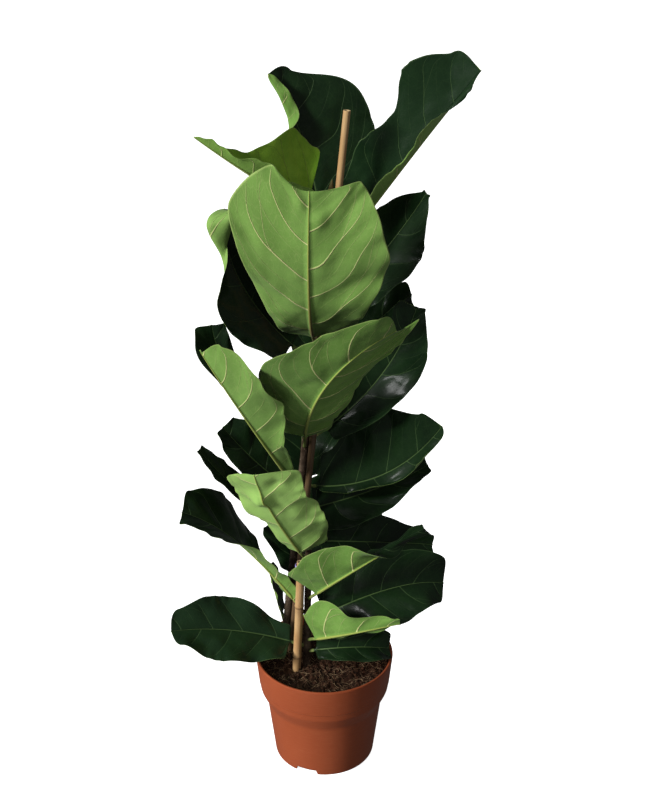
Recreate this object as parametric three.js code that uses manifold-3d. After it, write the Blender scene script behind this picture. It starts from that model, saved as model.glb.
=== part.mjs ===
// A potted fiddle leaf fig: two woody stems, two bamboo stakes and their leaves,
// standing in the soil of a plastic nursery pot.
// Millimetres, +Z up. The origin is the centre of the pot's base, and -Y is the front.
// Run with the npm packages three and manifold-3d; the default export is the finished group.

import * as THREE from "three";
import { mergeVertices } from "three/addons/utils/BufferGeometryUtils.js";
import Module from "manifold-3d";

// ---------------------------------------------------------------- driving sizes

const CLEARANCE = 0.3; // space left between two pieces that rest on each other

const POT = {
  height: 175,
  rimRadius: 105,
  baseRadius: 77,
  collarRadius: 98.6, // the collar's lower edge
  collarBottom: 118,
  chamferRadius: 88.5, // where the chamfer under the collar meets the wall
  chamferBottom: 96,
  seamHeight: 129, // a faint line round the collar
  seamStep: 0.7,
  wall: 2.2,
  floorThickness: 2.5,
  channelRadius: 58, // a raised drain channel runs between this radius and the wall
  channelHeight: 9,
  segments: 48,
  notches: 3, // openings in the wall that drain the channel
  notchWidth: 33,
  notchHeight: 8,
  firstNotchAngle: 249,
};

const SOIL = {
  height: 158, // 17 mm below the rim
  bump: 2.2,
  rings: 5,
  segments: 28,
};

const ROOT_LEVEL = 120; // stems and stakes reach down to this level in the soil

const STEMS = {
  tall: { foot: [-66, 36, ROOT_LEVEL], top: [8, 31, 870], radius: 7, topRadius: 4.2, rings: 9 },
  short: { foot: [-28, -14, ROOT_LEVEL], top: [-23, 9, 348], radius: 6, topRadius: 5, rings: 5 },
};
const STEM_SIDES = 12;
const BUD = { length: 34, radius: 5 }; // the pointed sheath over the tall stem's growing tip

const STAKES = {
  tall: { foot: [-56, 26.3, ROOT_LEVEL], top: [30, 20, 995], radius: 5, joints: [0.2, 0.47, 0.74] },
  short: { foot: [-44, -24, ROOT_LEVEL], top: [-34, -5, 337], radius: 6.5, joints: [0.27, 0.66] },
};
const STAKE_SIDES = 12;
const JOINT = { swell: 0.6, halfLength: 5 }; // the ring where a bamboo cane was jointed

const TIE = { height: 330, band: 1.6, width: 5 }; // a plastic band round stake and stem

const LEAF = {
  thickness: 0.9,
  petioleRadius: 2.3,
  footRadius: 2.8,
  midribDepth: 2.6, // how far the midrib stands out below the blade
  midribTipDepth: 0.4,
  minHalfWidth: 1.2,
  columns: [-1, -0.82, -0.45, 0, 0.45, 0.82, 1], // places across a blade, margin to margin
  rows: [0, 0.03, 0.1, 0.2, 0.32, 0.44, 0.56, 0.68, 0.79, 0.88, 0.95, 1],
  pathSteps: 240,
  arcSteps: 12,
  foldSpan: 0.3, // the share of a half that a fold takes up
  baseEars: 0.03, // how far the margins fall back behind the blade's base
  waveShift: 1.9, // radians that the right margin's waves are ahead of the left's
};

// Lists of five are values at these places along a blade; the ends keep the outer values.
const STATIONS = { first: 0.1, step: 0.2, count: 5 };
const FIDDLE = [0.5, 0.66, 0.92, 1, 0.76]; // a plain leaf's outline, as shares of half its width

// What every leaf has unless its own entry says otherwise. Angles are degrees, and a value
// that differs between the two halves is a pair, left then right.
// back: compass direction that the blade's underside faces (0 = +X, 90 = +Y)
// roll, twist: turn of the blade about its midrib, and how much more it turns by the tip
// half: half widths in millimetres, in place of a plain leaf's width
// cup, curl: rise of each half from the midrib, and its further bend out to the margin
// fold: where across a half its curl is, 0 midrib to 1 margin, or null for an even curl
// wave, waves, phase: height, number and start of the margin's waves
// lobe: how far each side reaches past the point where it leaves the midrib
// pale: for a leaf that shows the front its underside
const LEAF_DEFAULTS = {
  petiole: 35, roll: 0, twist: 0, width: 100, half: null,
  cup: 12, curl: 10, fold: null, wave: 7, waves: 2.6, phase: 0, lobe: 0.2,
};

// stem and height: where the leaf grows; mid and tip: points on its midrib.
const LEAVES = [
  {
    name: "leaf_01_top_back", stem: "tall", height: 800, back: 95, petiole: 45,
    mid: [-26, 78, 937], tip: [-73, 92, 1028],
    half: [[30, 46, 50, 30, 20], [50, 82, 99, 86, 28]],
    cup: [12, 8], curl: [[0, 0, 0, 160, 160], 10], fold: 0.4, phase: 1, lobe: [0.05, 0.08],
  },
  {
    name: "leaf_02_top_right", stem: "tall", height: 775, back: 65, petiole: 75,
    mid: [117, 38, 934], tip: [198, 12, 1046],
    half: [[54, 62, 57, 78, 46], [14, 20, 18, 14, 16]],
    cup: [20, 60], curl: [25, [50, 50, 40, 10, -60]], phase: 2, lobe: [0.14, 0.02],
  },
  {
    name: "leaf_03_top_young", stem: "tall", height: 850, pale: true, back: 200,
    mid: [-79, -15, 911], tip: [-161, -40, 974],
    half: [[22, 28, 24, 16, 6], [82, 86, 50, 12, 5]],
    cup: [50, 50], curl: [20, 25], wave: 6, lobe: 0.05,
  },
  {
    name: "leaf_04_top_front", stem: "tall", height: 672, pale: true, back: 270, petiole: 52,
    mid: [-19, -70, 765], tip: [-18, -85, 917],
    half: [[62, 78, 103, 90, 66], [41, 59, 82, 99, 46]],
    cup: 0, wave: 5, lobe: [0.32, 0.5],
  },
  {
    name: "leaf_05_upper_left", stem: "tall", height: 640, back: 110, petiole: 40,
    mid: [-108, 25, 752], tip: [-132, 25, 864],
    half: [[46, 62, 58, 34, 68], [34, 50, 56, 54, 36]],
    cup: 10, curl: [[10, 10, 10, 120, 150], 15], fold: [0.45, null],
  },
  {
    name: "leaf_06_upper_right", stem: "tall", height: 690, back: 80,
    mid: [84, 60, 796], tip: [137, 45, 880],
    half: [[26, 40, 48, 38, 5], [36, 54, 62, 46, 8]],
    cup: 10, curl: 15, wave: 5,
  },
  {
    name: "leaf_07_upper_right_small", stem: "tall", height: 622, back: 90,
    mid: [72, 84, 680], tip: [124, 80, 724], width: 56, cup: 10, curl: 15, wave: 3,
  },
  {
    name: "leaf_08_middle_front", stem: "tall", height: 505, pale: true, back: 270, petiole: 40,
    mid: [2, -65, 646], tip: [94, -70, 728],
    half: [[38, 50, 55, 54, 32], [50, 70, 92, 58, 40]],
    cup: 5, curl: 15, wave: 4, lobe: [0.5, 0.12],
  },
  {
    name: "leaf_09_middle_right", stem: "tall", height: 515, back: 90,
    mid: [72, 38, 606], tip: [128, 30, 724],
    half: [[36, 48, 50, 44, 28], [30, 46, 52, 46, 14]],
    cup: 10, curl: 15,
  },
  {
    name: "leaf_10_right_glossy", stem: "tall", height: 445, back: 70, petiole: 24,
    mid: [81, 22, 466], tip: [166, -2, 557],
    half: [[50, 88, 92, 80, 34], [12, 18, 24, 24, 14]],
    cup: [22, 5], curl: [12, 80], fold: [null, 0.8], lobe: [0.15, 0.05],
  },
  {
    name: "leaf_11_right_shaded", stem: "tall", height: 400, back: 90, petiole: 22,
    mid: [72, 45, 430], tip: [152, 40, 474],
    half: [[44, 54, 54, 42, 20], [44, 50, 42, 26, 12]], wave: 5,
  },
  {
    name: "leaf_12_left_front", stem: "tall", height: 432, pale: true, back: 225, petiole: 58,
    mid: [-104, -45, 585], tip: [-162, -60, 693],
    half: [[16, 36, 54, 58, 32], [12, 16, 20, 18, 12]], cup: 30,
  },
  {
    name: "leaf_13_left_back", stem: "tall", height: 530, back: 90, petiole: 80,
    mid: [-121, 45, 606], tip: [-157, 50, 690],
    half: [[14, 24, 29, 33, 26], [12, 18, 20, 22, 20]], wave: 4,
  },
  {
    name: "leaf_14_left_small", stem: "tall", height: 430, back: 100,
    mid: [-92, 30, 478], tip: [-145, 30, 541],
    half: [[30, 36, 32, 24, 16], [40, 44, 42, 38, 22]], wave: 5,
  },
  {
    name: "leaf_15_left_narrow", stem: "tall", height: 360, back: 150,
    mid: [-119, 0, 449], tip: [-177, -5, 522], half: [14, 20, 22, 18, 10], wave: 2,
  },
  {
    name: "leaf_16_low_front", stem: "short", height: 328, pale: true, back: 265, petiole: 30,
    mid: [-73, -50, 444], tip: [-96, -76, 519],
    half: [[48, 66, 62, 60, 60], [18, 28, 42, 50, 48]], wave: 4, lobe: [0.02, 0.05],
  },
  {
    name: "leaf_17_low_left", stem: "short", height: 238, back: 150, petiole: 34,
    mid: [-119, 5, 357], tip: [-206, -5, 421], roll: 95, twist: -110,
    half: [[17, 32, 42, 38, 26], [20, 40, 60, 58, 36]], wave: 4,
  },
  {
    name: "leaf_18_low_left_back", stem: "tall", height: 190, back: 170, petiole: 25,
    mid: [-70, 54, 225], tip: [-86, 58, 286], width: 46, wave: 2,
  },
  {
    name: "leaf_19_right_front", stem: "short", height: 268, pale: true, back: 270, petiole: 33,
    mid: [40, -50, 348], tip: [145, -25, 404], roll: -10,
    half: [[14, 18, 20, 18, 12], [58, 66, 44, 26, 16]],
    cup: [50, 6], curl: [20, [10, 10, 10, -150, -150]], fold: [null, 0.4], wave: 5,
  },
  {
    name: "leaf_20_right_broad", stem: "short", height: 228, back: 80, petiole: 28,
    mid: [92, -5, 288], tip: [179, 10, 290],
    half: [[46, 50, 54, 52, 38], [46, 52, 55, 46, 30]],
    cup: [8, 0], curl: [10, 0], lobe: [0.2, 0.12],
  },
  {
    name: "leaf_21_right_back", stem: "tall", height: 350, back: 90,
    mid: [100, 62, 330], tip: [166, 68, 322],
    half: [[30, 40, 40, 30, 14], [30, 32, 34, 28, 14]], wave: 5,
  },
  {
    name: "leaf_22_base_front", stem: "short", height: 200, pale: true, back: 285, petiole: 25,
    mid: [31, -56, 244], tip: [110, -64, 268], roll: -38,
    half: [[10, 13, 14, 12, 8], [46, 62, 34, 16, 10]], cup: [30, 12], wave: 5,
  },
  {
    name: "leaf_23_base_left", stem: "short", height: 188, back: 120, petiole: 26,
    mid: [-130, -15, 222], tip: [-227, -40, 239],
    half: [[36, 48, 54, 47, 26], [24, 37, 51, 47, 32]], wave: 5, lobe: 0.06,
  },
  {
    name: "leaf_24_base_right", stem: "short", height: 180, back: 60, petiole: 14,
    mid: [39, -25, 199], tip: [98, -15, 190],
    half: [[20, 30, 34, 32, 22], [16, 22, 24, 24, 18]], wave: 3,
  },
  {
    name: "leaf_25_back_high", stem: "tall", height: 720, back: 100,
    mid: [-33, 100, 784], tip: [-55, 130, 826], width: 110,
  },
  {
    name: "leaf_26_back_middle", stem: "tall", height: 570, back: 80,
    mid: [-2, 108, 636], tip: [18, 137, 694], width: 120,
  },
  {
    name: "leaf_27_back_low", stem: "tall", height: 420, back: 90,
    mid: [-34, 105, 476], tip: [-34, 128, 556],
    half: [[64, 70, 74, 74, 56], [36, 50, 70, 74, 56]],
  },
  {
    name: "leaf_28_back_right", stem: "tall", height: 300, back: 75,
    mid: [30, 118, 355], tip: [60, 156, 405], width: 130,
  },
  {
    name: "leaf_29_back_base", stem: "tall", height: 250, back: 100,
    mid: [-54, 84, 312], tip: [-78, 110, 345], width: 74, wave: 5,
  },
];

const LOOKS = {
  pot: { color: 0xb5633f, roughness: 0.62 },
  soil: { color: 0x2e1d14, roughness: 0.95 },
  stem: { color: 0x4a3324, roughness: 0.85 },
  stake: { color: 0xc9a873, roughness: 0.6 },
  tie: { color: 0x8f86c4, roughness: 0.45 },
  leaf: { color: 0x1f3d23, roughness: 0.4 },
  pale: { color: 0x7f9a4a, roughness: 0.6 },
};

// ---------------------------------------------------------------- small helpers

const vec = (point) => new THREE.Vector3(...point);
const rad = THREE.MathUtils.degToRad;
const wasm = await Module();
wasm.setup();

function look({ color, roughness }) {
  return new THREE.MeshStandardMaterial({ color, roughness, metalness: 0 });
}

function node(name, geometry, style) {
  const mesh = new THREE.Mesh(geometry, look(style));
  mesh.name = name;
  return mesh;
}

/** Shares the corners of a geometry, as a closed solid needs. */
function weld(geometry) {
  const bare = geometry.clone();
  bare.deleteAttribute("normal");
  bare.deleteAttribute("uv");
  return mergeVertices(bare, 1e-4);
}

function toSolid(geometry) {
  const welded = weld(geometry);
  const mesh = new wasm.Mesh({
    numProp: 3,
    vertProperties: new Float32Array(welded.attributes.position.array),
    triVerts: new Uint32Array(welded.index.array),
  });
  return new wasm.Manifold(mesh);
}

function toGeometry(solid) {
  const mesh = solid.getMesh();
  const geometry = new THREE.BufferGeometry();
  geometry.setAttribute("position", new THREE.Float32BufferAttribute(mesh.vertProperties, 3));
  geometry.setIndex(new THREE.Uint32BufferAttribute(mesh.triVerts, 1));
  geometry.computeVertexNormals();
  return geometry;
}

/** Cuts every tool out of a body. */
function cut(body, tools) {
  const rest = tools.reduce((solid, tool) => solid.subtract(toSolid(tool)), toSolid(body));
  return toGeometry(rest);
}

/**
 * Closed solid through rings that have the same number of points each.
 * Each ring runs from its left edge over the upper side to the right edge and back below,
 * so both faces of a flat ring are split along the same diagonals.
 */
function loft(rings) {
  const count = rings[0].length;
  const half = count / 2;
  const positions = rings.flat().flatMap((point) => point.toArray());
  const index = [];
  const at = (ring, point) => ring * count + (point % count);
  for (let i = 0; i + 1 < rings.length; i += 1) {
    for (let j = 0; j < count; j += 1) {
      const column = j < half ? j : count - 2 - j;
      const leftHalf = column < (half - 1) / 2;
      const forward = leftHalf === j < half;
      const [a, b] = [at(i, j), at(i, j + 1)];
      const [c, d] = [at(i + 1, j), at(i + 1, j + 1)];
      index.push(...(forward ? [a, b, d, a, d, c] : [a, b, c, b, d, c]));
    }
  }
  const last = rings.length - 1;
  for (let j = 1; j + 1 < count; j += 1) {
    index.push(at(0, 0), at(0, j + 1), at(0, j));
    index.push(at(last, 0), at(last, j), at(last, j + 1));
  }
  const geometry = new THREE.BufferGeometry();
  geometry.setAttribute("position", new THREE.Float32BufferAttribute(positions, 3));
  geometry.setIndex(index);
  geometry.computeVertexNormals();
  return geometry;
}

/** Ring of points round a centre, from the left over the top: an oval of the two axes. */
function oval(centre, side, up, count) {
  return Array.from({ length: count }, (_, j) => {
    const angle = Math.PI - ((j + 0.5) * 2 * Math.PI) / count;
    return centre.clone()
      .addScaledVector(side, Math.cos(angle))
      .addScaledVector(up, Math.sin(angle));
  });
}

/** Round rod along the line from foot to top, with a radius at each fraction of its length. */
function rod({ foot, top }, stations, sides) {
  const [from, to] = [vec(foot), vec(top)];
  const along = to.clone().sub(from).normalize();
  const side = new THREE.Vector3(0, 1, 0).cross(along).normalize();
  const up = side.clone().cross(along);
  return loft(stations.map(([fraction, radius]) => oval(
    from.clone().lerp(to, fraction),
    side.clone().multiplyScalar(radius),
    up.clone().multiplyScalar(radius),
    sides,
  )));
}

const lengthOf = ({ foot, top }) => vec(foot).distanceTo(vec(top));

// ---------------------------------------------------------------- pot and soil

/** Outer radius of the pot at a height. */
function potRadius(height) {
  const line = [
    [0, POT.baseRadius],
    [POT.chamferBottom, POT.chamferRadius],
    [POT.collarBottom, POT.collarRadius],
    [POT.height, POT.rimRadius],
  ];
  const upper = line.findIndex(([level]) => level >= height && level > 0);
  const [[z0, r0], [z1, r1]] = [line[upper - 1], line[upper]];
  return r0 + ((r1 - r0) * (height - z0)) / (z1 - z0);
}

function turned(profile, segments) {
  const points = profile.map(([radius, height]) => new THREE.Vector2(radius, height));
  return new THREE.LatheGeometry(points, segments).rotateX(Math.PI / 2);
}

function pot() {
  const { height, wall, floorThickness, channelRadius, channelHeight } = POT;
  const { seamHeight, seamStep } = POT;
  const channelTop = channelHeight + floorThickness;
  const outside = [
    [potRadius(0), 0],
    [POT.chamferRadius, POT.chamferBottom],
    [POT.collarRadius, POT.collarBottom],
    [potRadius(seamHeight), seamHeight],
    [potRadius(seamHeight) + seamStep, seamHeight + seamStep],
    [POT.rimRadius, height - wall],
    [POT.rimRadius - 0.6, height],
  ];
  const inside = [
    [POT.rimRadius - wall - 0.6, height],
    [POT.rimRadius - 2 * wall, height - wall],
    [POT.collarRadius - wall, POT.collarBottom],
    [POT.chamferRadius - wall, POT.chamferBottom],
    [potRadius(channelTop) - wall, channelTop],
    [channelRadius, channelTop],
    [channelRadius - floorThickness, floorThickness],
    [0, floorThickness],
    [0, 0],
    [channelRadius, 0],
    [channelRadius + floorThickness, channelHeight],
    [potRadius(channelHeight) - wall, channelHeight],
    [potRadius(0) - wall, 0],
  ];
  const profile = [...outside, ...inside];
  const shell = turned([...profile, profile[0]], POT.segments);
  const notches = Array.from({ length: POT.notches }, (_, k) => {
    const angle = rad(POT.firstNotchAngle + (k * 360) / POT.notches);
    return new THREE.BoxGeometry(4 * wall + 8, POT.notchWidth, 2 * POT.notchHeight)
      .translate(POT.baseRadius - 2, 0, 0)
      .rotateZ(angle);
  });
  return cut(shell, notches);
}

/** Soil surface: even waves of several lengths that fade out at the wall. */
function soilTop(x, y, edge) {
  const ripple = Math.sin(x / 9 + 0.6) * Math.cos(y / 11) + 0.6 * Math.sin((x - 1.4 * y) / 6.5);
  return SOIL.height + SOIL.bump * ripple * (1 - edge ** 6);
}

function soil() {
  const { rings, segments } = SOIL;
  const bottom = POT.floorThickness + CLEARANCE;
  const ledge = POT.channelHeight + bottom; // the soil's step over the drain channel
  const facetSag = POT.rimRadius * (1 - Math.cos(Math.PI / POT.segments));
  const inset = POT.wall + CLEARANCE + facetSag;
  // Outer levels from the floor up; the inner wall follows the pot's collar and chamfer.
  const wallLevels = [
    [POT.channelRadius - POT.floorThickness - inset + POT.wall, bottom],
    [POT.channelRadius - inset + POT.wall, ledge],
    [potRadius(ledge) - inset, ledge],
    [POT.chamferRadius - inset, POT.chamferBottom],
    [POT.collarRadius - inset, POT.collarBottom],
    [potRadius(SOIL.height) - inset - POT.wall, SOIL.height],
  ];
  const positions = [0, 0, bottom];
  const ringAt = (radius, level) => {
    for (let j = 0; j < segments; j += 1) {
      const angle = (j * 2 * Math.PI) / segments;
      const [x, y] = [radius * Math.cos(angle), radius * Math.sin(angle)];
      positions.push(x, y, level(x, y));
    }
  };
  wallLevels.forEach(([radius, height]) => ringAt(radius, () => height));
  const topRadius = wallLevels.at(-1)[0];
  for (let k = rings - 1; k > 0; k -= 1) {
    ringAt((topRadius * k) / rings, (x, y) => soilTop(x, y, k / rings));
  }
  positions.push(0, 0, soilTop(0, 0, 0));

  const ringCount = wallLevels.length + rings - 1;
  const last = positions.length / 3 - 1;
  const at = (ring, j) => 1 + ring * segments + (j % segments);
  const index = [];
  for (let j = 0; j < segments; j += 1) {
    index.push(0, at(0, j + 1), at(0, j));
    index.push(at(ringCount - 1, j), at(ringCount - 1, j + 1), last);
    for (let ring = 0; ring + 1 < ringCount; ring += 1) {
      index.push(at(ring, j), at(ring, j + 1), at(ring + 1, j + 1));
      index.push(at(ring, j), at(ring + 1, j + 1), at(ring + 1, j));
    }
  }
  const body = new THREE.BufferGeometry();
  body.setAttribute("position", new THREE.Float32BufferAttribute(positions, 3));
  body.setIndex(index);

  // Plain holes for the stems and stakes, as wide as each plus the clearance.
  const holes = [...Object.values(STEMS), ...Object.values(STAKES)].map((piece) => {
    const reach = CLEARANCE / lengthOf(piece);
    const wide = piece.radius + CLEARANCE;
    return rod(piece, [[-reach, wide], [0.5, wide]], STEM_SIDES);
  });
  return cut(body, holes);
}

// ---------------------------------------------------------------- stems, stakes and tie

function stem(shape, bud) {
  const { radius, topRadius, rings } = shape;
  const stations = Array.from({ length: rings + 1 }, (_, k) => {
    const t = k / rings;
    return [t, radius + (topRadius - radius) * t];
  });
  if (!bud) return rod(shape, stations, STEM_SIDES);
  const reach = BUD.length / lengthOf(shape);
  stations.push([1 + 0.25 * reach, BUD.radius]);
  stations.push([1 + 0.6 * reach, 0.7 * BUD.radius]);
  stations.push([1 + reach, 0.2 * BUD.radius]);
  return rod(shape, stations, STEM_SIDES);
}

function stake(shape) {
  const spread = JOINT.halfLength / lengthOf(shape);
  const stations = [[0, shape.radius]];
  shape.joints.forEach((place) => {
    stations.push([place - spread, shape.radius - 0.2]);
    stations.push([place, shape.radius - 0.2 + JOINT.swell]);
    stations.push([place + spread, shape.radius - 0.2]);
  });
  stations.push([1, shape.radius - 0.2]);
  return rod(shape, stations, STAKE_SIDES);
}

/** Centre line point of a stem or a stake at a height. */
function pointAt({ foot, top }, height) {
  return vec(foot).lerp(vec(top), (height - foot[2]) / (top[2] - foot[2]));
}

/** A band that runs round the short stem and the short stake, like a belt on two rollers. */
function tie() {
  const centres = [pointAt(STAKES.short, TIE.height), pointAt(STEMS.short, TIE.height)];
  const reach = [STAKES.short.radius, STEMS.short.radius].map((radius) => radius + 2 * CLEARANCE);
  const direction = Math.atan2(centres[1].y - centres[0].y, centres[1].x - centres[0].x);
  const distance = Math.hypot(centres[1].x - centres[0].x, centres[1].y - centres[0].y);
  const lean = Math.acos((reach[0] - reach[1]) / distance);
  const belt = (grow) => {
    const path = new THREE.Path();
    path.absarc(0, 0, reach[0] + grow, lean, 2 * Math.PI - lean, false);
    path.absarc(distance, 0, reach[1] + grow, -lean, lean, false);
    path.closePath();
    return path.getPoints(8);
  };
  const outline = new THREE.Shape(belt(TIE.band));
  outline.holes.push(new THREE.Path(belt(0)));
  return weld(new THREE.ExtrudeGeometry(outline, { depth: TIE.width, bevelEnabled: false })
    .rotateZ(direction)
    .translate(centres[0].x, centres[0].y, TIE.height - TIE.width / 2));
}

// ---------------------------------------------------------------- leaves

/** Pair of values, left and right, for one that may be shared by both halves. */
const perSide = (value) => (Array.isArray(value) && value.length === 2 ? value : [value, value]);

/** Value at a place along the blade: a number, or a smooth line through a list of five. */
function valueAt(values, s) {
  if (!Array.isArray(values)) return values;
  const last = STATIONS.count - 1;
  const place = THREE.MathUtils.clamp((s - STATIONS.first) / STATIONS.step, 0, last);
  const i = Math.min(last - 1, Math.floor(place));
  const [p0, p1, p2, p3] = [i - 1, i, i + 1, i + 2]
    .map((k) => values[THREE.MathUtils.clamp(k, 0, last)]);
  const t = place - i;
  const bend = 2 * p0 - 5 * p1 + 4 * p2 - p3 + t * (3 * p1 - p0 - 3 * p2 + p3);
  return p1 + 0.5 * t * (p2 - p0 + t * bend);
}

/** Rounds the outline off at both ends of the blade. */
function closing(s) {
  const base = 1 - Math.min(1, s / STATIONS.first);
  const tip = Math.max(0, (s - 1 + STATIONS.first) / STATIONS.first);
  return Math.sqrt(1 - base ** 2) * Math.sqrt(1 - tip ** 2);
}

/**
 * The leaf's centre line: a parabola from the stem through mid to tip, measured along its
 * length. Returns its length and a function that gives the place and the frame at a distance.
 */
function midrib(leaf, start) {
  const [mid, tip] = [vec(leaf.mid), vec(leaf.tip)];
  const control = mid.clone().multiplyScalar(2).sub(start.clone().lerp(tip, 0.5));
  const curve = new THREE.QuadraticBezierCurve3(start, control, tip);
  curve.arcLengthDivisions = LEAF.pathSteps;
  const length = curve.getLength();
  const back = rad(leaf.back);
  const face = new THREE.Vector3(-Math.cos(back), -Math.sin(back), 1);
  const frameAt = (distance) => {
    const fraction = THREE.MathUtils.clamp(distance / length, 0, 1);
    const point = curve.getPointAt(fraction);
    const along = curve.getTangentAt(fraction);
    const up = face.clone().addScaledVector(along, -face.dot(along)).normalize();
    const right = along.clone().cross(up);
    const turn = rad(leaf.roll + leaf.twist * fraction);
    const [c, s] = [Math.cos(turn), Math.sin(turn)];
    return {
      point,
      along,
      up: up.clone().multiplyScalar(c).addScaledVector(right, s),
      right: right.clone().multiplyScalar(c).addScaledVector(up, -s),
    };
  };
  return { length, frameAt };
}

/** Point of the blade's middle surface: s runs base to tip, v left (-1) to right (1). */
function bladePoint(leaf, path, s, v) {
  const blade = path.length - leaf.petiole;
  const { point, along, up, right } = path.frameAt(leaf.petiole + s * blade);
  const side = v < 0 ? 0 : 1;
  const u = Math.abs(v);
  const half = Math.max(valueAt(leaf.half[side], s) * closing(s), LEAF.minHalfWidth);

  // Each half leaves the midrib at the cup angle and bends by the curl out to its margin.
  const [cup, curl] = [rad(leaf.cup[side]), rad(valueAt(leaf.curl[side], s))];
  const [fold, span] = leaf.fold[side] === null ? [0.5, 1] : [leaf.fold[side], LEAF.foldSpan];
  let [across, rise] = [0, 0];
  for (let k = 0; k < LEAF.arcSteps; k += 1) {
    const place = (u * (k + 0.5)) / LEAF.arcSteps;
    const angle = cup + curl * THREE.MathUtils.clamp((place - fold) / span + 0.5, 0, 1);
    across += (half * u * Math.cos(angle)) / LEAF.arcSteps;
    rise += (half * u * Math.sin(angle)) / LEAF.arcSteps;
  }

  const reach = leaf.lobe[side] * s ** 2 * (1 - s ** 8) - LEAF.baseEars * (1 - s) ** 4;
  const swing = 2 * Math.PI * leaf.waves * s + leaf.phase + LEAF.waveShift * side;
  const wave = leaf.wave * u ** 2 * Math.sin(swing) * Math.sin(Math.PI * s) ** 0.4;
  return point.clone()
    .addScaledVector(along, blade * u ** 2 * reach)
    .addScaledVector(right, across * Math.sign(v))
    .addScaledVector(up, rise + wave);
}

/** Direction of the upper side at a place on the blade. */
function bladeNormal(leaf, path, s, v) {
  const step = 0.01;
  const lower = Math.max(0, s - step);
  const upper = Math.min(1, s + step);
  const forward = bladePoint(leaf, path, upper, v).sub(bladePoint(leaf, path, lower, v));
  const [left, right] = [Math.max(-1, v - step), Math.min(1, v + step)];
  const across = bladePoint(leaf, path, s, right).sub(bladePoint(leaf, path, s, left));
  return across.cross(forward).normalize();
}

function bladeRing(leaf, path, s) {
  const upper = [];
  const lower = [];
  LEAF.columns.forEach((v) => {
    const point = bladePoint(leaf, path, s, v);
    const normal = bladeNormal(leaf, path, s, v);
    const rib = v === 0 ? LEAF.midribDepth * (1 - s) + LEAF.midribTipDepth : 0;
    upper.push(point.clone().addScaledVector(normal, LEAF.thickness / 2));
    lower.unshift(point.clone().addScaledVector(normal, -LEAF.thickness / 2 - rib));
  });
  return [...upper, ...lower];
}

/** The nearest point of a stem's centre line. */
function nearestOn({ foot, top }, point) {
  const line = new THREE.Line3(vec(foot), vec(top));
  return line.closestPointToPoint(point, false, new THREE.Vector3());
}

/** Distance along the path at which it is this far from the stem's centre line. */
function clearOf(path, shape, distance) {
  let along = 0;
  const away = () => {
    const { point } = path.frameAt(along);
    return point.distanceTo(nearestOn(shape, point));
  };
  while (away() < distance && along < path.length) along += 0.5;
  return along;
}

/** A leaf's entry with its defaults, and each value that has two sides as a pair. */
function completed(entry) {
  const leaf = { ...LEAF_DEFAULTS, ...entry };
  leaf.half ??= FIDDLE.map((share) => (share * leaf.width) / 2);
  ["half", "cup", "curl", "fold", "lobe"].forEach((key) => { leaf[key] = perSide(leaf[key]); });
  return leaf;
}

/** One leaf: a flat foot against the stem, a round petiole and the blade with its midrib. */
function leafSolid(entry) {
  const leaf = completed(entry);
  const shape = STEMS[leaf.stem];
  const path = midrib(leaf, pointAt(shape, leaf.height));
  const share = (leaf.height - shape.foot[2]) / (shape.top[2] - shape.foot[2]);
  const stemRadius = shape.radius + (shape.topRadius - shape.radius) * share;
  const count = 2 * LEAF.columns.length;

  // The foot is a flat oval that stands against the stem's side.
  const footPlace = path.frameAt(clearOf(path, shape, stemRadius + CLEARANCE)).point;
  const centre = nearestOn(shape, footPlace);
  const outward = footPlace.clone().sub(centre).normalize();
  const upright = vec(shape.top).sub(vec(shape.foot)).normalize();
  const foot = centre.clone().addScaledVector(outward, stemRadius + CLEARANCE);
  const side = outward.clone().cross(upright);

  const freeFrom = clearOf(path, shape, stemRadius + CLEARANCE + LEAF.petioleRadius + 0.5);
  const petioleEnd = Math.max(leaf.petiole, freeFrom + 4);
  leaf.petiole = petioleEnd;
  const rings = [oval(
    foot,
    side.multiplyScalar(LEAF.footRadius),
    upright.multiplyScalar(LEAF.footRadius),
    count,
  )];
  [freeFrom, (freeFrom + petioleEnd) / 2].forEach((distance) => {
    const { point, up, right } = path.frameAt(distance);
    rings.push(oval(
      point,
      right.multiplyScalar(LEAF.petioleRadius),
      up.multiplyScalar(LEAF.petioleRadius),
      count,
    ));
  });
  LEAF.rows.forEach((s) => rings.push(bladeRing(leaf, path, s)));
  return loft(rings);
}

// ---------------------------------------------------------------- the plant in its pot

const plant = new THREE.Group();
plant.name = "potted_fiddle_leaf_fig";
plant.add(node("pot", pot(), LOOKS.pot));
plant.add(node("soil", soil(), LOOKS.soil));
plant.add(node("stem_tall", stem(STEMS.tall, true), LOOKS.stem));
plant.add(node("stem_short", stem(STEMS.short, false), LOOKS.stem));
plant.add(node("stake_tall", stake(STAKES.tall), LOOKS.stake));
plant.add(node("stake_short", stake(STAKES.short), LOOKS.stake));
plant.add(node("tie_band", tie(), LOOKS.tie));
LEAVES.forEach((entry) => {
  plant.add(node(entry.name, leafSolid(entry), entry.pale ? LOOKS.pale : LOOKS.leaf));
});

export default plant;
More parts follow.
